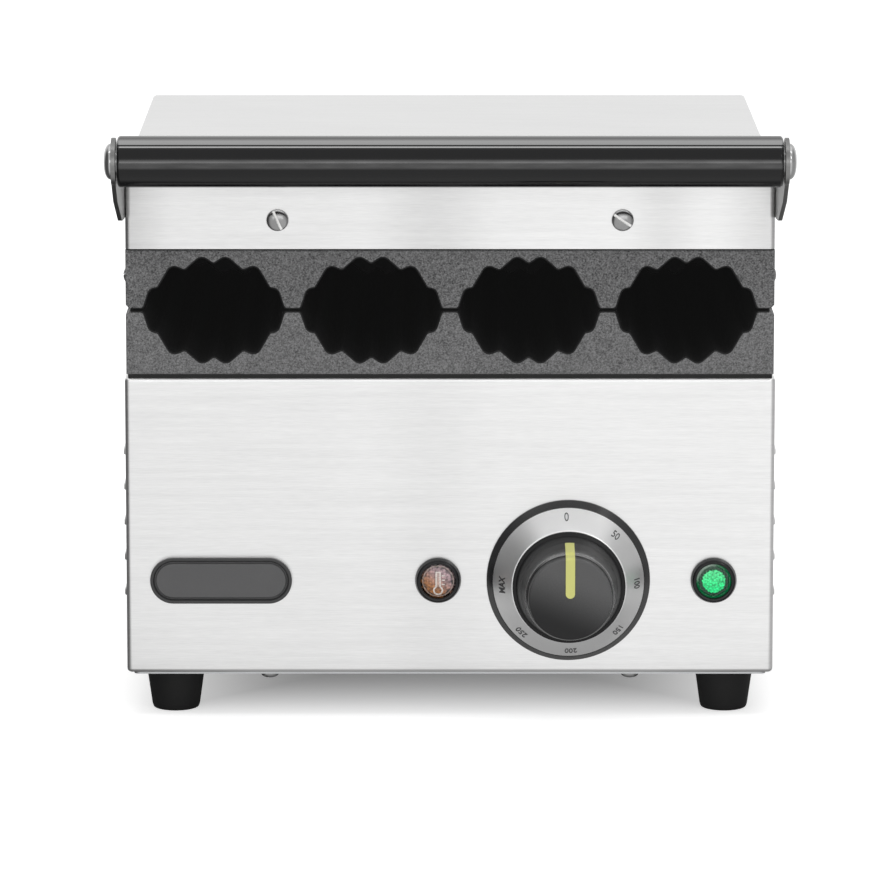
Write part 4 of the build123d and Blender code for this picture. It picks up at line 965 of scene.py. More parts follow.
class GRILL_OT_stage(bpy.types.Operator):
    """Camera, floor, lamps and the pale room"""

    bl_idname = "grill.stage"
    bl_label = "Stage"

    # Name and radiance's property, degrees over the front horizon, distance, width, depth, to the right
    lamps = (
        ("softbox", "softbox", 104.0, 1.7, 2.6, 1.45, 0.0),
        ("strip_lamp", "strip", 74.0, 1.5, 2.6, 0.3, 0.0),
        ("front_card", "card", 8.5, 3.6, 3.4, 1.0, 0.0),
        ("side_lamp", "spot", 35.0, 2.4, 0.4, 0.6, 1.3),
    )
    floor_half = 8.0
    # Half the width, the middle's y and half the depth of what stands on the floor
    footprint = (145 * MM, 10 * MM, 135 * MM)

    def execute(self, context):
        stage = context.scene.grill_stage
        self.camera(context, stage)
        self.floor(stage)
        self.room(context, stage)
        for name, radiance, *measures in self.lamps:
            self.lamp(name, getattr(stage, radiance), *measures)
        context.scene.view_settings.view_transform = "Standard"
        return {"FINISHED"}

    def camera(self, context, stage):
        """A long lens in front of the panel, tilted down and not turned."""
        data = bpy.data.cameras.new("front_camera")
        data.lens = stage.focal_length
        data.sensor_width = 36.0
        data.clip_end = 50.0
        camera = linked("front_camera", data)
        camera.location = (stage.camera_x, PANEL_Y - stage.camera_distance, stage.camera_height)
        camera.rotation_euler = (math.pi / 2 - stage.camera_tilt, 0.0, 0.0)
        context.scene.camera = camera

    def floor(self, stage):
        """A wide floor, white where it is seen, with the object's real soft shadow and a painted shadow round
        the feet, where its glow is lower.

        Outside is how far a point lies past the footprint's nearest side, less than 0 under the object.
        """
        half = self.floor_half
        corners = [(-half, -half, 0), (half, -half, 0), (half, half, 0), (-half, half, 0)]
        mesh = bpy.data.meshes.new("floor")
        mesh.from_pydata(corners, [], [(0, 1, 2, 3)])
        floor = linked("floor", mesh)
        finish = Finish("white_floor")
        x, y, _ = finish.place()
        distance, _ = finish.polar(x, y)
        half_width, middle_y, half_depth = self.footprint
        outside = (abs(x) - half_width).largest(abs(y - middle_y) - half_depth)
        seen, mirrored = rays_of(finish)
        # Painted shadow: the glow for the camera is lower under the object and rises away from it
        under = outside.ramp(-120 * MM, 0.0, stage.floor_under, 0.4)
        around = outside.ramp(-75 * MM, 62 * MM, 0.0, 0.45)
        matt = finish.add("ShaderNodeBsdfDiffuse", inputs={"Color": (0.75, 0.75, 0.75, 1.0)})
        glow = finish.glow(seen * (under + around))
        plain = finish.add("ShaderNodeAddShader", inputs={0: matt, 1: glow})
        # Painted shadow and light in mirrors: the floor darker near the object and a little lighter to the right
        level = side_level(x / distance, stage) * outside.ramp(-60 * MM, 110 * MM, 0.12, stage.horizon)
        mirror = finish.glow(level * x.ramp(-0.3, 0.3, 0.97, 1.1))
        finish.add_output(finish.add("ShaderNodeMixShader", inputs={0: mirrored, 1: plain, 2: mirror}))
        mesh.materials.append(finish.material)

    def room(self, context, stage):
        """White where it is seen; as light and in mirrors its upper part is dimmer than the horizon."""
        world = bpy.data.worlds.new("pale_room")
        context.scene.world = world
        sky = Finish("pale_room", world)
        across, _, height = sky.split(sky.add("ShaderNodeTexCoord", output="Generated"))
        seen, mirrored = rays_of(sky)
        mirror_light = side_level(across, stage) * height.ramp(0.2, 0.55, stage.horizon, stage.ceiling)
        strength = seen + (1.0 - seen) * (mirrored * mirror_light + (1.0 - mirrored) * stage.fill)
        sky.add_output(sky.glow(strength, "ShaderNodeBackground"), "ShaderNodeOutputWorld")

    def lamp(self, name, radiance, elevation, distance, width, depth, across):
        """A rectangular lamp seen from the handle at an angle over the front horizon, turned to it.

        Its watts are radiance times pi times its area, and the camera doesn't see it.
        """
        aim = Vector(middle("handle_grip"))
        data = bpy.data.lights.new(name, "AREA")
        data.shape = "RECTANGLE"
        data.size = width
        data.size_y = depth
        data.energy = radiance * math.pi * width * depth
        turn = math.radians(elevation)
        lamp = linked(name, data)
        lamp.location = aim + Vector((across, -distance * math.cos(turn), distance * math.sin(turn)))
        lamp.rotation_euler = (aim - lamp.location).to_track_quat("-Z", "Y").to_euler()
        lamp.visible_camera = False


# Pieces


class GrillCabinet(bpy.types.PropertyGroup):
    """Sizes of the cabinet's sheet and its louvres"""

    bend: FloatProperty(
        name="Corner bend", description="Radius of the upright bends", default=2.5 * MM, unit="LENGTH")
    lower_bend: FloatProperty(
        name="Lower bend", description="Radius of the bend under the walls", default=1.8 * MM,
        unit="LENGTH")
    flange: FloatProperty(
        name="Flange", description="Width of the returns inside", default=14 * MM, unit="LENGTH")
    louvre_proud: FloatProperty(
        name="Louvre depth", description="How far a louvre stands out", default=2.6 * MM, unit="LENGTH")
    louvre_height: FloatProperty(
        name="Louvre height", description="From a louvre's lip to its root", default=9 * MM, unit="LENGTH")
    louvre_pitch: FloatProperty(
        name="Louvre pitch", description="From one louvre to the next", default=16.2 * MM, unit="LENGTH")
    louvre_low: FloatProperty(
        name="Lowest louvre", description="Height of the lowest lip", default=48.8 * MM, unit="LENGTH")
    louvre_rows: IntProperty(name="Louvre rows", description="Louvres over each other", default=5)


class GRILL_OT_cabinet(bpy.types.Operator):
    """Cabinet of one bent sheet with pressed louvres in its sides"""

    bl_idname = "grill.cabinet"
    bl_label = "Cabinet"

    # Where a row's two louvres start and end, and how far they take to rise at each end
    spans = ((-95 * MM, 0.0), (20 * MM, 115 * MM))
    hood_ends = 7 * MM
    hood_steps = np.array((0.0, 0.12, 0.28, 0.45, 0.62, 0.8, 1.0))
    # Height of the open slit under a lip
    slit = 0.25 * MM
    # Height of the plain strips along the lower and upper edges, and the bend over the upper one
    margin, upper_bend = 8 * MM, 1.5 * MM

    def execute(self, context):
        size = context.scene.grill_cabinet
        inset, height, rise = self.rows(size)
        ease = self.hood_steps * self.hood_ends
        wall_y = np.unique(np.concatenate(
            [np.linspace(PANEL_Y + size.bend, SHELL_BACK_Y, 12)]
            + [np.concatenate([low + ease, high - ease]) for low, high in self.spans]))[::-1]
        hood = sum(smooth((wall_y - low) / self.hood_ends) * smooth((high - wall_y) / self.hood_ends)
                   for low, high in self.spans)
        points = self.sheet(size, inset[:, None], height[:, None], rise[:, None], wall_y, hood)
        flat, faces = surface(points)
        columns = points.shape[1]
        opened = np.zeros(columns)
        opened[:len(hood)] = hood
        opened[-len(hood):] = hood[::-1]
        slits = {row for row in range(len(rise) - 1) if rise[row] == 0 and rise[row + 1] == 1}
        kept = [face for face in faces if face[0] // columns not in slits
                or max(opened[face[0] % columns], opened[face[1] % columns]) == 0]
        piece("cabinet_sheet", "body_shell", [(flat, kept)], closed=False, thickness=SHEET)
        return {"FINISHED"}

    def rows(self, size):
        """Rows up the wall: inset from its face, height, and the share of a louvre's depth.

        A louvre is full depth over its lip and eases back to the wall as a smooth step.
        """
        low = rounded([(size.flange, BODY_LOW_Z), (0, BODY_LOW_Z), (0, BODY_LOW_Z + self.margin)],
                      [0, size.lower_bend, 0])
        top = rounded([(0, BODY_TOP_Z - self.margin), (0, BODY_TOP_Z), (size.flange, BODY_TOP_Z)],
                      [0, self.upper_bend, 0])
        share = np.array((0.0, 0.1, 0.22, 0.36, 0.5, 0.64, 0.78, 0.9, 1.0))
        lips = size.louvre_low + size.louvre_pitch * np.arange(size.louvre_rows)
        louvre = np.concatenate([(-self.slit,), share * size.louvre_height])
        rise = np.concatenate([(0.0,), 1.0 - smooth((share - 0.2) / 0.8)])
        inset = np.concatenate([low[:, 0], np.zeros(len(louvre) * len(lips)), top[:, 0]])
        height = np.concatenate([low[:, 1], (lips[:, None] + louvre).ravel(), top[:, 1]])
        rises = np.concatenate([np.zeros(len(low)), np.tile(rise, len(lips)), np.zeros(len(top))])
        return inset, height, rises

    def sheet(self, size, inset, height, rise, wall_y, hood):
        """Points of left wall, corner, front, corner and right wall, each row moved in by its inset.

        A corner's arc keeps its middle as the radius shrinks to bend - inset, and then moves inwards.
        """
        reach = np.maximum(size.bend, inset)
        radius = np.maximum(size.bend - inset, 0.0)
        turn = np.linspace(0.0, math.pi / 2, 7)
        front_x = np.linspace(-1.0, 1.0, 9) * BODY_HALF_X
        wall = np.maximum(wall_y, PANEL_Y + reach)
        out = BODY_HALF_X - inset + rise * hood * size.louvre_proud
        across = np.concatenate([
            -out,
            -BODY_HALF_X + reach - radius * np.cos(turn),
            np.clip(front_x, -BODY_HALF_X + reach, BODY_HALF_X - reach),
            BODY_HALF_X - reach + radius * np.sin(turn),
            out[:, ::-1],
        ], axis=1)
        along = np.concatenate([
            wall,
            PANEL_Y + reach - radius * np.sin(turn),
            PANEL_Y + inset + 0 * front_x,
            PANEL_Y + reach - radius * np.cos(turn),
            wall[:, ::-1],
        ], axis=1)
        return np.stack([across, along, height + 0 * across], axis=-1)


class GrillLid(bpy.types.PropertyGroup):
    """Sizes of the lid cover"""

    top_edge: FloatProperty(
        name="Top edge", description="Radius round the top", default=2 * MM, unit="LENGTH")
    corner: FloatProperty(
        name="Corner", description="Radius of the upright corners", default=2.5 * MM, unit="LENGTH")


class GRILL_OT_lid_cover(bpy.types.Operator):
    """Lid cover pressed from one sheet, with a rounded top edge"""

    bl_idname = "grill.lid_cover"
    bl_label = "Lid cover"

    # How far the last ring of the cover lies inside its edge, and the least radius of a corner
    top_ring, least_corner = 20 * MM, 0.05 * MM

    def execute(self, context):
        size = context.scene.grill_lid
        edge_rows = rounded([(0, LID_LOW_Z), (0, LID_TOP_Z), (self.top_ring, LID_TOP_Z)],
                            [0, size.top_edge, 0])
        rows = []
        for inset, height in edge_rows:
            loop = plan_loop(LID_HALF_X - inset, PLATE_FRONT_Y + inset, PLATE_BACK_Y - inset,
                             max(size.corner - inset, self.least_corner))
            rows.append(np.column_stack([loop, np.full(len(loop), height)]))
        cover = surface(np.stack(rows), wrap_columns=True, caps=(len(rows) - 1,))
        piece("lid_cover", "lid_shell", [cover], closed=False, thickness=SHEET)
        return {"FINISHED"}


class GrillPlates(bpy.types.PropertyGroup):
    """Sizes of the cast plates and their channels"""

    channel_pitch: FloatProperty(
        name="Channel pitch", description="From one channel to the next", default=70 * MM, unit="LENGTH")
    channel_length: FloatProperty(
        name="Channel length", description="From the front to the back wall", default=258 * MM,
        unit="LENGTH")
    lobe: FloatProperty(
        name="Lobe radius", description="Of the flutes' crests", default=3.0 * MM, unit="LENGTH")
    valley: FloatProperty(
        name="Valley radius", description="Between two flutes", default=2.0 * MM, unit="LENGTH")
    land: FloatProperty(
        name="Land radius", description="Where a channel meets the split", default=2.0 * MM, unit="LENGTH")
    front_edge: FloatProperty(
        name="Front edge", description="Rounding of the front and back edges", default=1.2 * MM,
        unit="LENGTH")
    chamfer: FloatProperty(
        name="Chamfer", description="At the split on both sides", default=2 * MM, unit="LENGTH")
    gap: FloatProperty(
        name="Gap", description="Between the upper plate and the cover", default=0.6 * MM, unit="LENGTH")


class GRILL_OT_plates(bpy.types.Operator):
    """Cast grill plates with fluted channels, coated black inside"""

    bl_idname = "grill.plates"
    bl_label = "Grill plates"

    # Right half of a channel from its middle out: distance from the middle and from the split
    flutes = np.array(((0.0, 20.35), (5.4, 24.0), (12.9, 17.45), (18.7, 19.97), (24.7, 9.7),
                       (28.2, 9.2))) * MM
    mouth = 31.1 * MM
    channels = 4
    # How far from a plate's outer face, sides, front and back its coat stays. At the front it covers the
    # rounded edges: a real coat, whose black there is also painted shade in the gap between the plates.
    bare_face, bare_side, bare_front, bare_back = 1.5 * MM, 2.2 * MM, 0.06 * MM, 0.1 * MM

    def execute(self, context):
        size = context.scene.grill_plates
        outer = {"upper_grill_plate": LID_LOW_Z - size.gap, "lower_grill_plate": PLATE_LOW_Z}
        for node, height in outer.items():
            depth = height - SPLIT_Z
            made = self.plate(node.replace("grill_", "fluted_"), node, size, depth)
            made.data.materials.append(finish_of("channel_coat"))
            self.coat(made.data, abs(depth) - self.bare_face)
        return {"FINISHED"}

    def section(self, size, depth):
        """Outline of a plate: its outer face, the sides, the chamfers and the channels between them."""
        sign = math.copysign(1.0, depth)
        face = sign * SPLIT_GAP
        half = PLATE_HALF_X
        corners = [(half, depth), (-half, depth), (-half, face + sign * size.chamfer),
                   (-half + size.chamfer, face)]
        radii = [0.0] * 4
        for i in range(self.channels):
            middle_x = (i - (self.channels - 1) / 2) * size.channel_pitch
            side = np.column_stack([self.flutes[:, 0], sign * self.flutes[:, 1]])
            left = side[:0:-1] * (-1, 1)
            run = np.concatenate([[(-self.mouth, face)], left, side, [(self.mouth, face)]]) + (middle_x, 0)
            corners += run.tolist()
            lobes = [size.lobe, size.valley] * (len(side) - 1) + [size.lobe]
            radii += [size.land] + lobes[:2 * len(side) - 1] + [size.land]
        corners += [(half - size.chamfer, face), (half, face + sign * size.chamfer)]
        radii += [0.0, 0.0]
        return rounded(corners, radii, 4, closed=True)

    def plate(self, name, node, size, depth):
        """The section carried back through rounded front edges, the channels' end wall and the back edges.

        Past the end wall the channels' points lie on the split face.
        """
        section = self.section(size, depth)
        sign = math.copysign(1.0, depth)
        between_sides = np.abs(section[:, 0]) < PLATE_HALF_X - size.chamfer
        in_channel = between_sides & (sign * section[:, 1] < abs(depth) - MM)
        on_split = np.column_stack([section[:, 0], np.full(len(section), sign * SPLIT_GAP)])
        plain = np.where(in_channel[:, None], on_split, section)
        rows = [(inset_loop(section, inset), PLATE_FRONT_Y + size.front_edge - rise)
                for inset, rise in quarter(size.front_edge)[::-1]]
        end = PLATE_FRONT_Y + size.channel_length
        rows += [(section, end), (plain, end)]
        rows += [(self.shrunk(plain, inset), PLATE_BACK_Y - size.front_edge + rise)
                 for inset, rise in quarter(size.front_edge)]
        points = np.stack([np.column_stack([loop[:, 0], np.full(len(loop), y), SPLIT_Z + loop[:, 1]])
                           for loop, y in rows])
        return piece(name, node, [surface(points, wrap_columns=True, caps=(0, len(rows) - 1))])

    def shrunk(self, loop, inset):
        """A section whose channels are closed, scaled so that its sides and faces move in by inset."""
        low, high = loop[:, 1].min(), loop[:, 1].max()
        centre = (low + high) / 2
        scale = ((PLATE_HALF_X - inset) / PLATE_HALF_X, (high - low - 2 * inset) / (high - low))
        return np.column_stack([loop[:, 0] * scale[0], centre + (loop[:, 1] - centre) * scale[1]])

    def coat(self, mesh, depth):
        """Gives the second finish to the faces of the channels and of the split face.

        Depth is how far from the split it reaches.
        """
        centres = np.zeros(3 * len(mesh.polygons))
        mesh.polygons.foreach_get("center", centres)
        x, y, z = centres.reshape(-1, 3).T
        inside = ((np.abs(x) < PLATE_HALF_X - self.bare_side) & (np.abs(z - SPLIT_Z) < depth)
                  & (y > PLATE_FRONT_Y + self.bare_front) & (y < PLATE_BACK_Y - self.bare_back))
        mesh.polygons.foreach_set("material_index", inside.astype(np.int32))


class GrillDial(bpy.types.PropertyGroup):
    """Sizes of the numbers and the pointer"""

    number_radius: FloatProperty(
        name="Number radius", description="Of the numbers' middles", default=30.5 * MM, unit="LENGTH")
    number_turn: FloatProperty(
        name="Number turn", description="How far the scale is turned leftwards", default=math.radians(2),
        subtype="ANGLE")
    number_height: FloatProperty(
        name="Number height", description="Of the letters", default=2.7 * MM, unit="LENGTH")
    pointer_width: FloatProperty(
        name="Pointer width", description="Of the knob's index", default=4.1 * MM, unit="LENGTH")
    pointer_proud: FloatProperty(
        name="Pointer height", description="Over the knob", default=0.5 * MM, unit="LENGTH")


class GRILL_OT_dial(bpy.types.Operator):
    """Dial: black skirt, turned cone with its numbers, knob and index"""

    bl_idname = "grill.dial"
    bl_label = "Dial"

    # Outlines of (radius, height over the panel, rounding), in millimetres
    skirt = ((20.0, 0.0, 0.0), (36.6, 0.0, 0.2), (36.6, 1.0, 0.6), (34.0, 4.7, 0.7), (31.6, 4.7, 0.2),
             (31.6, 3.0, 0.2), (20.0, 3.0, 0.0))
    cone = ((31.9, 4.7, 0.1), (33.9, 4.7, 0.15), (25.6, 15.1, 0.3), (24.9, 15.4, 0.12), (24.2, 15.0, 0.1),
            (24.2, 13.9, 0.1))
    knob = ((0.0, 43.0, 0.0), (18.3, 43.0, 0.9), (18.8, 38.4, 0.5), (19.7, 37.4, 0.6), (20.4, 31.0, 8.0),
            (21.6, 24.0, 8.0), (23.6, 18.0, 0.8), (25.2, 17.3, 0.35), (25.25, 15.9, 0.3), (23.4, 15.9, 0.3),
            (17.4, 36.0, 1.0), (6.5, 36.0, 1.0), (6.5, 7.0, 0.4), (3.0, 7.0, 0.3), (3.0, 31.0, 0.0),
            (0.0, 31.0, 0.0))
    index = ((5.0, 43.0, 0.0), *knob[1:5], (21.45, 25.0, 0.0))
    # Where the index starts over the knob's middle, and how deep it is let in
    index_start, index_sunk = 2.5 * MM, 0.6 * MM
    # Text: degrees clockwise, millimetres further out, size, and millimetres added to the strokes
    numbers = {
        "0": (0.0, 0.0, 1.15, 0.0), "50": (45.3, 0.0, 1.0, 0.0), "100": (91.7, 0.0, 0.93, 0.04),
        "150": (135.9, 0.0, 0.97, 0.04), "200": (180.0, 0.0, 1.0, 0.04), "250": (225.7, 0.0, 1.0, 0.04),
        "MAX": (271.6, -0.6, 0.97, 0.12),
    }
    print_depth = 0.12 * MM

    def execute(self, context):
        size = context.scene.grill_dial
        axis = (DIAL_X, PANEL_Y, CONTROL_Z)
        for name, node, outline, ring in (
            ("dial_skirt", "dial_bezel", self.skirt, True),
            ("dial_cone", "dial_ring", self.cone, True),
            ("thermostat_knob", "control_knob", self.knob, False),
        ):
            piece(name, node, [lathe(drawn(outline, ring), axis, FORWARD, 160, ring)])
        self.pointer(size)
        self.scale(size)
        return {"FINISHED"}

    def pointer(self, size):
        """Strip that follows the knob from its middle to its rim, with a round end.

        At t across from its centre line and r from the axis, a point lies sqrt(r squared - t squared) up.
        """
        line = drawn(self.index)
        ahead = np.gradient(line, axis=0)
        normal = np.column_stack([-ahead[:, 1], ahead[:, 0]]) / np.linalg.norm(ahead, axis=1)[:, None]
        normal *= -1.0 if normal[0, 1] < 0 else 1.0
        half = size.pointer_width / 2
        across = half * np.sin(np.linspace(-math.pi / 2, math.pi / 2, 13))
        top, under = (line + lift * normal for lift in (size.pointer_proud, -self.index_sunk))
        face = line[0, 1]
        start = self.index_start - np.sqrt(np.maximum(half**2 - across**2, 0.0))
        rows = [
            self.strip(across, start, start, face + size.pointer_proud / 2, face + size.pointer_proud / 2),
            self.strip(across, start, start, face + size.pointer_proud, face - self.index_sunk),
        ]
        for (top_r, top_h), (under_r, under_h) in zip(top, under):
            over, below = np.sqrt(top_r**2 - across**2), np.sqrt(under_r**2 - across**2)
            rows.append(self.strip(across, over, below, top_h, under_h))
        last_r, last_h = (top[-1] + under[-1]) / 2
        last = np.sqrt(last_r**2 - across**2)
        rows.append(self.strip(across, last, last, last_h, last_h))
        piece("knob_index", "knob_pointer", [surface(np.stack(rows), wrap_columns=True)], sharp=40.0)

    def strip(self, across, over, below, top, under):
        """One section of the pointer: over its top from left to right and back underneath."""
        place = on_panel(DIAL_X, CONTROL_Z)
        return np.concatenate([place(across, over, top + 0 * across),
                               place(across[::-1], below[::-1], under + 0 * across)])

    def scale(self, size):
        """Numbers bent round the cone: across turns about the axis, and up runs out along the cone."""
        surfaces = []
        outer, inner = np.array(self.cone)[1:3, :2]
        slope = outer - inner
        rise = slope[1] / slope[0]
        normal = np.array((-slope[1], slope[0])) / np.linalg.norm(slope)
        place = on_panel(DIAL_X, CONTROL_Z)
        for text, (turn, further, bigger, bolder) in self.numbers.items():
            points, faces = lettering(text, size.number_height * bigger, self.print_depth, bolder * MM)
            across, up, lift = points.T
            angle = math.pi / 2 + size.number_turn - math.radians(turn) - across / size.number_radius
            radius = size.number_radius + further * MM + up + lift * normal[0]
            forward = inner[1] * MM + (radius - inner[0] * MM - lift * normal[0]) * rise + lift * normal[1]
            surfaces.append((place(radius * np.cos(angle), radius * np.sin(angle), forward), faces))
        piece("dial_numbers", "dial_ring", surfaces, merge=MERGE / 10, finish="dial_print", replaces=False)


class GRILL_OT_lamps(bpy.types.Operator):
    """Two signal lamps: gloss bezels and pebbled lenses"""

    bl_idname = "grill.lamps"
    bl_label = "Signal lamps"

    # Outline of (radius, height over the panel, rounding), in millimetres
    bezel = ((7.2, -14.0, 0.0), (7.9, -14.0, 0.0), (7.9, 0.0, 0.0), (10.3, 0.0, 0.3), (10.3, 1.4, 1.0),
             (9.6, 3.9, 0.9), (8.7, 4.4, 0.6), (8.0, 4.2, 0.3), (7.8, 3.4, 0.3), (7.8, 0.5, 0.0),
             (7.2, 0.5, 0.0))
    lens_radius, lens_back, lens_edge, lens_crown = 7.75 * MM, 0.55 * MM, 2.4 * MM, 1.4 * MM
    # The pebbles, and the share of the radius over which they ease out
    pebble_pitch, pebble_depth, pebble_ease = 1.25 * MM, 0.16 * MM, 0.1

    def execute(self, context):
        for lamp in ("power_lamp", "heat_lamp"):
            x = middle(f"{lamp}_lens")[0]
            ring = lathe(drawn(self.bezel, True), (x, PANEL_Y, CONTROL_Z), FORWARD, 128, True)
            piece(f"{lamp}_ring", f"{lamp}_bezel", [ring], finish="lamp_black")
            piece(f"{lamp}_window", f"{lamp}_lens", [self.lens(x)], sharp=60.0)
        return {"FINISHED"}

    def lens(self, x):
        """Low dome whose face is covered in pebbles, three crossing waves 60 degrees apart.

        Dome = edge + crown * (1 - (r / R) squared). The pebbles ease out towards the edge.
        """
        radius = np.concatenate([(0.0, self.lens_radius), np.linspace(self.lens_radius, 0.0, 44)])
        turn = np.linspace(0.0, 2 * math.pi, 120, endpoint=False)
        across, up = radius[:, None] * np.cos(turn), radius[:, None] * np.sin(turn)
        share = radius / self.lens_radius
        dome = self.lens_edge + self.lens_crown * (1 - share**2)
        ease = smooth((1 - share) / self.pebble_ease)
        waves = sum(np.cos(2 * math.pi / self.pebble_pitch * (across * math.cos(a) + up * math.sin(a)))
                    for a in np.radians((0.0, 60.0, 120.0)))
        forward = dome[:, None] + self.pebble_depth * ease[:, None] * waves / 3
        forward[:2] = self.lens_back
        place = on_panel(x, CONTROL_Z)
        return surface(place(across, up, forward), wrap_columns=True)


class GRILL_OT_name_plate(bpy.types.Operator):
    """Bare name plate with round ends, a raised rim and a groove inside it"""

    bl_idname = "grill.name_plate"
    bl_label = "Name plate"

    # Section from the outline inwards: (inset, height over the panel, rounding), in millimetres
    section = ((0.0, 0.0, 0.0), (0.0, 2.6, 0.45), (1.3, 2.6, 0.3), (1.9, 1.4, 0.1), (2.3, 1.4, 0.1),
               (2.9, 2.2, 0.35), (3.6, 2.2, 0.0))

    def execute(self, context):
        low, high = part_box("name_plate")
        half_length, half_height = (high[0] - low[0]) / 2, (high[2] - low[2]) / 2
        turn = np.linspace(-math.pi / 2, math.pi / 2, 33)
        end = np.column_stack([half_length - half_height + half_height * np.cos(turn),
                               half_height * np.sin(turn)])
        loop = np.concatenate([end, -end])
        place = on_panel((low[0] + high[0]) / 2, (low[2] + high[2]) / 2)
        piece("plate_with_rim", "name_plate", [slab(loop, drawn(self.section), place)])
        return {"FINISHED"}


class GRILL_OT_handle(bpy.types.Operator):
    """Handle bar with rounded ends, its brackets and its end bolts"""

    bl_idname = "grill.handle"
    bl_label = "Handle"

    bore, bore_edge, end_edge = 6 * MM, 0.3 * MM, 1.5 * MM
    bracket_edge = 0.35 * MM

    def execute(self, context):
        low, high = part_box("handle_grip")
        radius, centre = (high[2] - low[2]) / 2, middle("handle_grip")
        outline = [(self.bore, low[0]), (radius, low[0]), (radius, high[0]), (self.bore, high[0])]
        profile = rounded(outline, [self.bore_edge, self.end_edge, self.end_edge, self.bore_edge],
                          closed=True)
        bar = lathe(profile, (0.0, centre[1], centre[2]), RIGHT, 128, True)
        piece("handle_bar", "handle_grip", [bar])
        for hand in ("left", "right"):
            softened(f"handle_bracket_{hand}", f"bracket_{hand}", self.bracket_edge)
        piece("end_bolts", "handle_bolts", [self.bolt(-1.0), self.bolt(1.0)], finish="bolt_steel")
        return {"FINISHED"}

    def bolt(self, side):
        """Truss head on a bracket: height = H * (1 - (r / R) ** 2.6) ** 0.45."""
        low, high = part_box("handle_bolts")
        centre, seat = (low + high) / 2, edge("handle_bracket_right", 1, 0)
        share = np.sin(np.linspace(math.pi / 2, 0.0, 16))
        radius, height = (high[2] - low[2]) / 2 * share, (high[0] - seat) * (1 - share**2.6) ** 0.45
        shank = np.array(((0.0, -5.0), (3.0, -5.0), (3.0, 0.0))) * MM
        profile = np.concatenate([shank, np.column_stack([radius, height])])
        return lathe(profile, (side * seat, centre[1], centre[2]), side * RIGHT, 64)


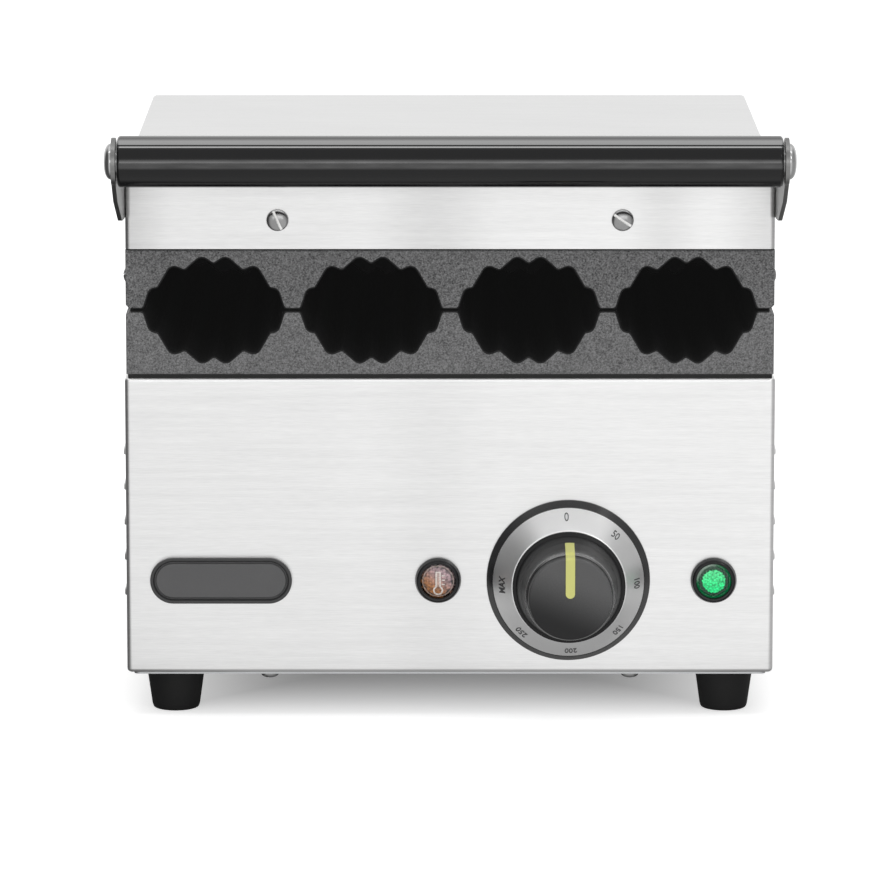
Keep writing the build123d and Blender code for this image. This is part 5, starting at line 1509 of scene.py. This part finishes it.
class GRILL_OT_screws(bpy.types.Operator):
    """Slotted pan-head screws, each where the frame has one"""

    bl_idname = "grill.screws"
    bl_label = "Screws"

    # Degrees that the slots are turned, taken in order
    groups = {
        "lid_front_screws": (-66.0, -34.0),
        "upper_plate_side_screws": (20.0, 75.0),
        "lid_fixing_screws": (12.0, 60.0, -40.0, 85.0, -15.0),
        "cabinet_screws": (35.0, -70.0, 5.0, 50.0, -25.0),
        "foot_screws": (10.0, 70.0, -35.0),
    }
    # Points past this share of the radius are the head's, and the shank's keep this far under it
    head_share, under_head = 0.93, 0.5 * MM
    # Share of the head's radius that is half the slot's width, and of its height that is left under it
    slot_half, slot_floor_height = 0.12, 0.42
    # The painted highlight in a slot, a bright strip: shares of the radius, lengthways and across,
    # and of the head's height
    strip_size, strip_heights = (0.9, 0.115), (0.2, 0.43)
    rim_share = 0.3

    def execute(self, context):
        for node, turns in self.groups.items():
            solids = sorted(solids_of(node), key=lambda points: tuple(np.round(points.mean(axis=0), 4)))
            shapes, slots = [], []
            for i, points in enumerate(solids):
                head, shank, slot = self.screw(points, math.radians(turns[i % len(turns)]))
                shapes += [head, shank]
                slots.append(slot)
            piece(f"{node}_slotted", node, shapes, sharp=38.0)
            piece(f"{node}_slots", node, slots, finish="slot_steel", replaces=False)
        return {"FINISHED"}

    def screw(self, points, turn):
        """Head, shank and slot floor with the size, place and direction of a frame screw's points.

        The axis is the one across which the two spans are most alike. The head is where the points lie
        farthest from it.
        """
        low, high = points.min(axis=0), points.max(axis=0)
        spans = high - low
        along = int(np.argmin([abs(spans[a - 1] - spans[a - 2]) for a in range(3)]))
        centre = (low + high) / 2
        off_axis = np.delete(points - centre, along, axis=1)
        distance = np.linalg.norm(off_axis, axis=1)
        head = distance > self.head_share * distance.max()
        forward = 1.0 if points[head, along].mean() > centre[along] else -1.0
        position = forward * points[:, along]
        seat, top, tip = position[head].min(), position.max(), position.min()
        radius, shank = distance.max(), distance[position < seat - self.under_head].max()
        axis = np.zeros(3)
        axis[along] = forward
        base = centre.copy()
        base[along] = forward * seat
        side = np.cross(UP if along != 2 else FORWARD, axis)
        rise = np.cross(axis, side)
        slot = math.cos(turn) * side + math.sin(turn) * rise
        end, chamfer, sunk = tip - seat, 0.4 * MM, 0.2 * MM
        outline = [(0, end), (shank - chamfer, end), (shank, end + chamfer), (shank, sunk), (0, sunk)]
        return [self.head(base, axis, slot, radius, top - seat), lathe(outline, base, axis, 24),
                self.slot_glint(base, axis, slot, radius, top - seat)]

    def slot_glint(self, base, axis, slot, radius, height):
        """Painted highlight in a slot's floor: a bright box along it from the first height to the second."""
        along, across = self.strip_size
        corners = np.array(((-1, -1), (1, -1), (1, 1), (-1, 1))) * (along * radius, across * radius)
        cross = np.cross(axis, slot)
        level = np.array(self.strip_heights) * height
        points = (np.asarray(base) + corners[None, :, :1] * slot + corners[None, :, 1:] * cross
                  + level[:, None, None] * axis)
        return surface(points, wrap_columns=True, caps=(0, 1))

    def head(self, base, axis, slot, radius, height):
        """Round head cut by a slot: height = edge + (top - edge) * sqrt(1 - (r / R) squared).

        Columns run along the slot and are doubled at its walls. The first and last rows close it
        underneath.
        """
        cross = np.cross(axis, slot)
        half_slot = self.slot_half * radius
        spread = radius * np.sin(np.linspace(0.0, math.pi / 2, 13))
        spread = spread[spread > half_slot * 1.15]
        offs = np.concatenate([-spread[::-1], (-half_slot, -half_slot, half_slot, half_slot), spread])
        in_slot = np.zeros(len(offs), bool)
        in_slot[len(spread) + 1:len(spread) + 3] = True
        run = np.sin(np.linspace(-math.pi / 2, math.pi / 2, 25))
        run = np.concatenate([(0.0, -1.0), run, (1.0, 0.0)])[:, None]
        chord = np.sqrt(np.maximum(radius**2 - offs**2, 0.0))
        distance = np.minimum((offs**2 + (run * chord) ** 2) / radius**2, 1.0)
        rim = self.rim_share * height
        rise = rim + (height - rim) * np.sqrt(1 - distance)
        rise = np.where(in_slot, np.minimum(rise, self.slot_floor_height * height), rise)
        rise[[0, 1, -2, -1]] = 0.0
        points = (np.asarray(base) + offs[:, None] * cross + (run * chord)[..., None] * slot
                  + rise[..., None] * axis)
        return surface(points)


class GRILL_OT_feet(bpy.types.Operator):
    """Tapered rubber feet with rounded edges and the screw's bore"""

    bl_idname = "grill.feet"
    bl_label = "Feet"

    # Outline of (radius, height over the floor, rounding), in millimetres
    outline = ((5.0, 0.0, 0.5), (10.2, 0.0, 1.2), (10.8, 2.0, 1.5), (13.2, 19.2, 0.8), (2.5, 19.2, 0.0),
               (2.5, 9.0, 0.0), (5.0, 9.0, 0.0))

    def execute(self, context):
        for node in ("foot_front_left", "foot_front_right", "foot_rear_left", "foot_rear_right"):
            x, y, _ = middle(node)
            foot = lathe(drawn(self.outline, True), (x, y, 0.0), UP, 96, True)
            piece(node.replace("foot", "rubber_foot"), node, [foot])
        return {"FINISHED"}


class GRILL_OT_hinges(bpy.types.Operator):
    """Hinges, cable gland and hose elbows with their edges rounded"""

    bl_idname = "grill.hinges"
    bl_label = "Hinges and fittings"

    nodes = ("hinge_arm_left", "hinge_arm_right", "hinge_bracket_left", "hinge_bracket_right",
             "cable_gland", "hose_elbow_lower", "hose_elbow_upper")
    edge_width = 0.5 * MM

    def execute(self, context):
        for node in self.nodes:
            softened(node, f"{node}_eased", self.edge_width)
        return {"FINISHED"}


class GRILL_OT_hose(bpy.types.Operator):
    """Ribbed hose, straight and upright, in place of the frame's hose

    Radius = groove + (rib - groove) * (half a cosine wave a rib) ** 0.7.
    """

    bl_idname = "grill.hose"
    bl_label = "Hose"

    ribs, rib_radius, groove_radius, bore = 22, 5.6 * MM, 4.8 * MM, 4.0 * MM

    def execute(self, context):
        low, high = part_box("lid_hose")
        share = np.linspace(0.0, 1.0, self.ribs * 10 + 1)
        wave = 0.5 - 0.5 * np.cos(2 * math.pi * self.ribs * share)
        radius = self.groove_radius + (self.rib_radius - self.groove_radius) * wave**0.7
        height = low[2] + share * (high[2] - low[2])
        outside = np.column_stack([radius, height])
        inside = np.column_stack([np.full(12, self.bore), np.linspace(high[2], low[2], 12)])
        x, y, _ = middle("lid_hose")
        tube = lathe(np.concatenate([outside, inside]), (x, y, 0.0), UP, 48, True)
        hose = piece("ribbed_hose", "lid_hose", [tube], sharp=180.0, rides=False)
        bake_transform(hose)
        return {"FINISHED"}


class GRILL_OT_frame_finishes(bpy.types.Operator):
    """Finishes of the pieces that come from the frame"""

    bl_idname = "grill.frame_finishes"
    bl_label = "Frame finishes"

    def execute(self, context):
        for row in frame["record"]["subparts"]:
            node = frame["nodes"][row["node"]]
            node.data.materials.clear()
            node.data.materials.append(finish_of(row["material_slot"]))
        return {"FINISHED"}


class GRILL_PT_panel(bpy.types.Panel):
    """The grill's steps in the sidebar"""

    bl_idname = "GRILL_PT_panel"
    bl_label = "Contact grill"
    bl_space_type = "VIEW_3D"
    bl_region_type = "UI"
    bl_category = "Grill"

    def draw(self, context):
        """One button for each step."""
        for step in STEPS:
            self.layout.operator(step.bl_idname)


STEPS = (GRILL_OT_stage, GRILL_OT_frame_finishes, GRILL_OT_cabinet, GRILL_OT_lid_cover,
         GRILL_OT_plates, GRILL_OT_dial, GRILL_OT_lamps, GRILL_OT_name_plate, GRILL_OT_handle,
         GRILL_OT_screws, GRILL_OT_feet, GRILL_OT_hinges, GRILL_OT_hose)
GROUPS = {"grill_colours": GrillColours, "grill_stage": GrillStage, "grill_cabinet": GrillCabinet,
          "grill_lid": GrillLid, "grill_plates": GrillPlates, "grill_dial": GrillDial}


def register():
    """Registers the classes and hangs the groups of sizes on the scene."""
    for cls in (*GROUPS.values(), *STEPS, GRILL_PT_panel):
        bpy.utils.register_class(cls)
    for name, cls in GROUPS.items():
        setattr(bpy.types.Scene, name, PointerProperty(type=cls))


def unregister():
    """Takes back what register did, in the opposite order."""
    for name in GROUPS:
        delattr(bpy.types.Scene, name)
    for cls in (GRILL_PT_panel, *reversed(STEPS), *GROUPS.values()):
        bpy.utils.unregister_class(cls)


def main():
    """Runs every step."""
    register()
    for step in STEPS:
        area, name = step.bl_idname.split(".")
        getattr(getattr(bpy.ops, area), name)()


if __name__ == "__main__":
    main()
